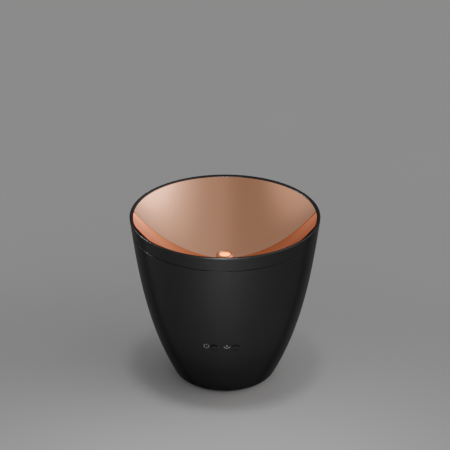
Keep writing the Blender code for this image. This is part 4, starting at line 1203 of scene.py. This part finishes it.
def finish_cad_nodes(finish):
    for key, names in CAD_FINISH.items():
        for name in names:
            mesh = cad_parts[name].data
            mesh.materials.clear()
            mesh.materials.append(finish[key])


# ---------------------------------------------------------------- stage


CAMERA_DISTANCE = 1.3410
CAMERA_ELEVATION = math.radians(26.44)
CAMERA_TARGET = Vector((0.0, 0.0, 0.1222))
CAMERA_LENS = 144.0
DOME_STRENGTH = 3.0
FEATHER_PEAK = 3.5
POOL_POWER = 75.0
POOL_PLACE = (-0.01, -0.21, 1.5)
POOL_SPREAD = math.radians(17)
SHEEN_AIM = Vector((0.0, 0.0, 0.06))
# Name, place, size and power of each lamp that gives the black plastic its soft bands
SHEENS = (
    ("front_sheen", (-0.05, -1.5, 0.22), (0.80, 0.42), 26.0),
    ("left_sheen", (-1.4, 0.50, 0.20), (0.50, 0.40), 24.0),
    ("right_sheen", (1.4, 0.60, 0.20), (0.40, 0.40), 1.0),
)
# Brightness of the dome over a direction's X, Y and Z, and its colour over X
DOME_ACROSS = (
    (-1.0, 0.24), (-0.90, 0.24), (-0.78, 0.20), (-0.65, 0.125), (-0.50, 0.105), (-0.30, 0.105),
    (-0.15, 0.115), (0.0, 0.14), (0.15, 0.155), (0.30, 0.165), (0.45, 0.20), (0.60, 0.29),
    (0.70, 0.40), (0.78, 0.60), (0.88, 0.95), (1.0, 1.0),
)
DOME_BEHIND = ((-1.0, 1.0), (0.10, 1.0), (0.40, 1.1), (0.65, 1.8), (0.80, 1.7), (1.0, 1.2))
DOME_UPWARD = ((-1.0, 1.1), (0.0, 1.1), (0.30, 1.05), (0.50, 1.0), (1.0, 1.0))
DOME_TINT = (
    (-1.0, (1.0, 0.94, 0.88)), (-0.75, (1.0, 0.94, 0.88)), (-0.45, (1.0, 1.10, 1.34)),
    (0.45, (1.0, 1.10, 1.34)), (0.70, (1.0, 0.94, 0.88)), (1.0, (1.0, 0.96, 0.92)),
)


def make_floor():
    mesh = bpy.data.meshes.new("floor")
    shape = bmesh.new()
    bmesh.ops.create_grid(shape, x_segments=2, y_segments=2, size=6.0)
    shape.to_mesh(mesh)
    shape.free()
    finish = Finish("pale_floor", 0.6)
    finish.blend(finish.noise(3.0), (0.38, 0.38, 0.385), (0.40, 0.40, 0.405))
    floor = new_piece("floor", mesh, finish.material)


def feather(data):
    """Fade a rectangular lamp to nothing at its edges, with its power kept."""
    data.use_nodes = True
    tree = data.node_tree
    place = tree.nodes.new("ShaderNodeNewGeometry")
    parts = tree.nodes.new("ShaderNodeSeparateXYZ")
    tree.links.new(place.outputs["Parametric"], parts.inputs["Vector"])
    strength = FEATHER_PEAK
    for across in (parts.outputs["X"], parts.outputs["Y"]):
        rest = computed(tree, "SUBTRACT", 1.0, across)
        window = computed(tree, "MULTIPLY", computed(tree, "MULTIPLY", across, rest), 4.0)
        strength = computed(tree, "MULTIPLY", strength, computed(tree, "POWER", window, 2.0))
    tree.links.new(strength, tree.nodes["Emission"].inputs["Strength"])


def computed(tree, operation, *values):
    """Result of a Math node on numbers or outputs."""
    node = tree.nodes.new("ShaderNodeMath")
    node.operation = operation
    for socket, value in zip(node.inputs, values):
        if isinstance(value, float):
            socket.default_value = value
        else:
            tree.links.new(value, socket)
    return node.outputs["Value"]


def soft_light(name, place, size, power):
    data = bpy.data.lights.new(name, "AREA")
    data.shape = "RECTANGLE"
    data.size = size[0]
    data.size_y = size[1]
    data.energy = power
    feather(data)
    lamp = bpy.data.objects.new(name, data)
    lamp.location = place
    lamp.rotation_euler = (SHEEN_AIM - place).to_track_quat("-Z", "Y").to_euler()
    bpy.context.scene.collection.objects.link(lamp)
    return lamp


def shade(level):
    """Grey of a brightness, or a given colour, with its alpha."""
    return (*level, 1.0) if isinstance(level, tuple) else (level, level, level, 1.0)


def shape_of_light(tree, value, stops):
    """Smooth curve of brightness over a direction's component, which runs from -1 to 1."""
    scale = tree.nodes.new("ShaderNodeMapRange")
    scale.inputs["From Min"].default_value = -1.0
    tree.links.new(value, scale.inputs["Value"])
    ramp = tree.nodes.new("ShaderNodeValToRGB")
    ramp.color_ramp.interpolation = "B_SPLINE"
    for place, level in stops[1:-1]:
        ramp.color_ramp.elements.new((place + 1.0) / 2.0).color = shade(level)
    ramp.color_ramp.elements[0].color = shade(stops[0][1])
    ramp.color_ramp.elements[-1].color = shade(stops[-1][1])
    tree.links.new(scale.outputs["Result"], ramp.inputs["Fac"])
    return ramp.outputs["Color"]


def product(tree, first, second):
    both = tree.nodes.new("ShaderNodeVectorMath")
    both.operation = "MULTIPLY"
    tree.links.new(first, both.inputs[0])
    tree.links.new(second, both.inputs[1])
    return both.outputs["Vector"]


def make_world():
    """Soft dome: brightest on the right, dim ahead and over the left, lifted towards the back."""
    world = bpy.data.worlds.new("studio")
    bpy.context.scene.world = world
    world.use_nodes = True
    tree = world.node_tree
    direction = tree.nodes.new("ShaderNodeTexCoord")
    parts = tree.nodes.new("ShaderNodeSeparateXYZ")
    tree.links.new(direction.outputs["Generated"], parts.inputs["Vector"])
    across = shape_of_light(tree, parts.outputs["X"], DOME_ACROSS)
    behind = shape_of_light(tree, parts.outputs["Y"], DOME_BEHIND)
    upward = shape_of_light(tree, parts.outputs["Z"], DOME_UPWARD)
    tint = shape_of_light(tree, parts.outputs["X"], DOME_TINT)
    dome = product(tree, product(tree, across, behind), product(tree, upward, tint))
    tree.links.new(dome, tree.nodes["Background"].inputs["Color"])
    tree.nodes["Background"].inputs["Strength"].default_value = DOME_STRENGTH


def make_lights():
    make_world()
    data = bpy.data.lights.new("pool_light", "SPOT")
    data.energy = POOL_POWER
    data.spot_size = POOL_SPREAD
    data.spot_blend = 1.0
    data.shadow_soft_size = 0.16
    pool = bpy.data.objects.new("pool_light", data)
    pool.location = POOL_PLACE
    pool.visible_glossy = False
    bpy.context.scene.collection.objects.link(pool)
    for name, place, size, power in SHEENS:
        lamp = soft_light(name, Vector(place), size, power)
        lamp.visible_diffuse = False


def make_camera():
    data = bpy.data.cameras.new("camera")
    data.lens = CAMERA_LENS
    data.sensor_width = 36.0
    camera = bpy.data.objects.new("camera", data)
    back = Vector((0.0, -math.cos(CAMERA_ELEVATION), math.sin(CAMERA_ELEVATION)))
    camera.location = CAMERA_TARGET + CAMERA_DISTANCE * back
    camera.rotation_euler = (-back).to_track_quat("-Z", "Y").to_euler()
    bpy.context.scene.collection.objects.link(camera)
    bpy.context.scene.camera = camera


def build():
    finish = make_materials()
    finish_cad_nodes(finish)
    make_lid(finish)
    make_shell(finish)
    make_button("power_key_cap", "power_button", "power_key", finish)
    make_button("light_key_cap", "light_button", "light_key", finish)
    make_symbols(finish)
    make_tank(finish)
    make_tower(finish)
    make_base(finish)
    make_feet(finish)
    make_screws(finish)
    make_socket(finish)
    make_floor()
    make_lights()
    make_camera()


build()
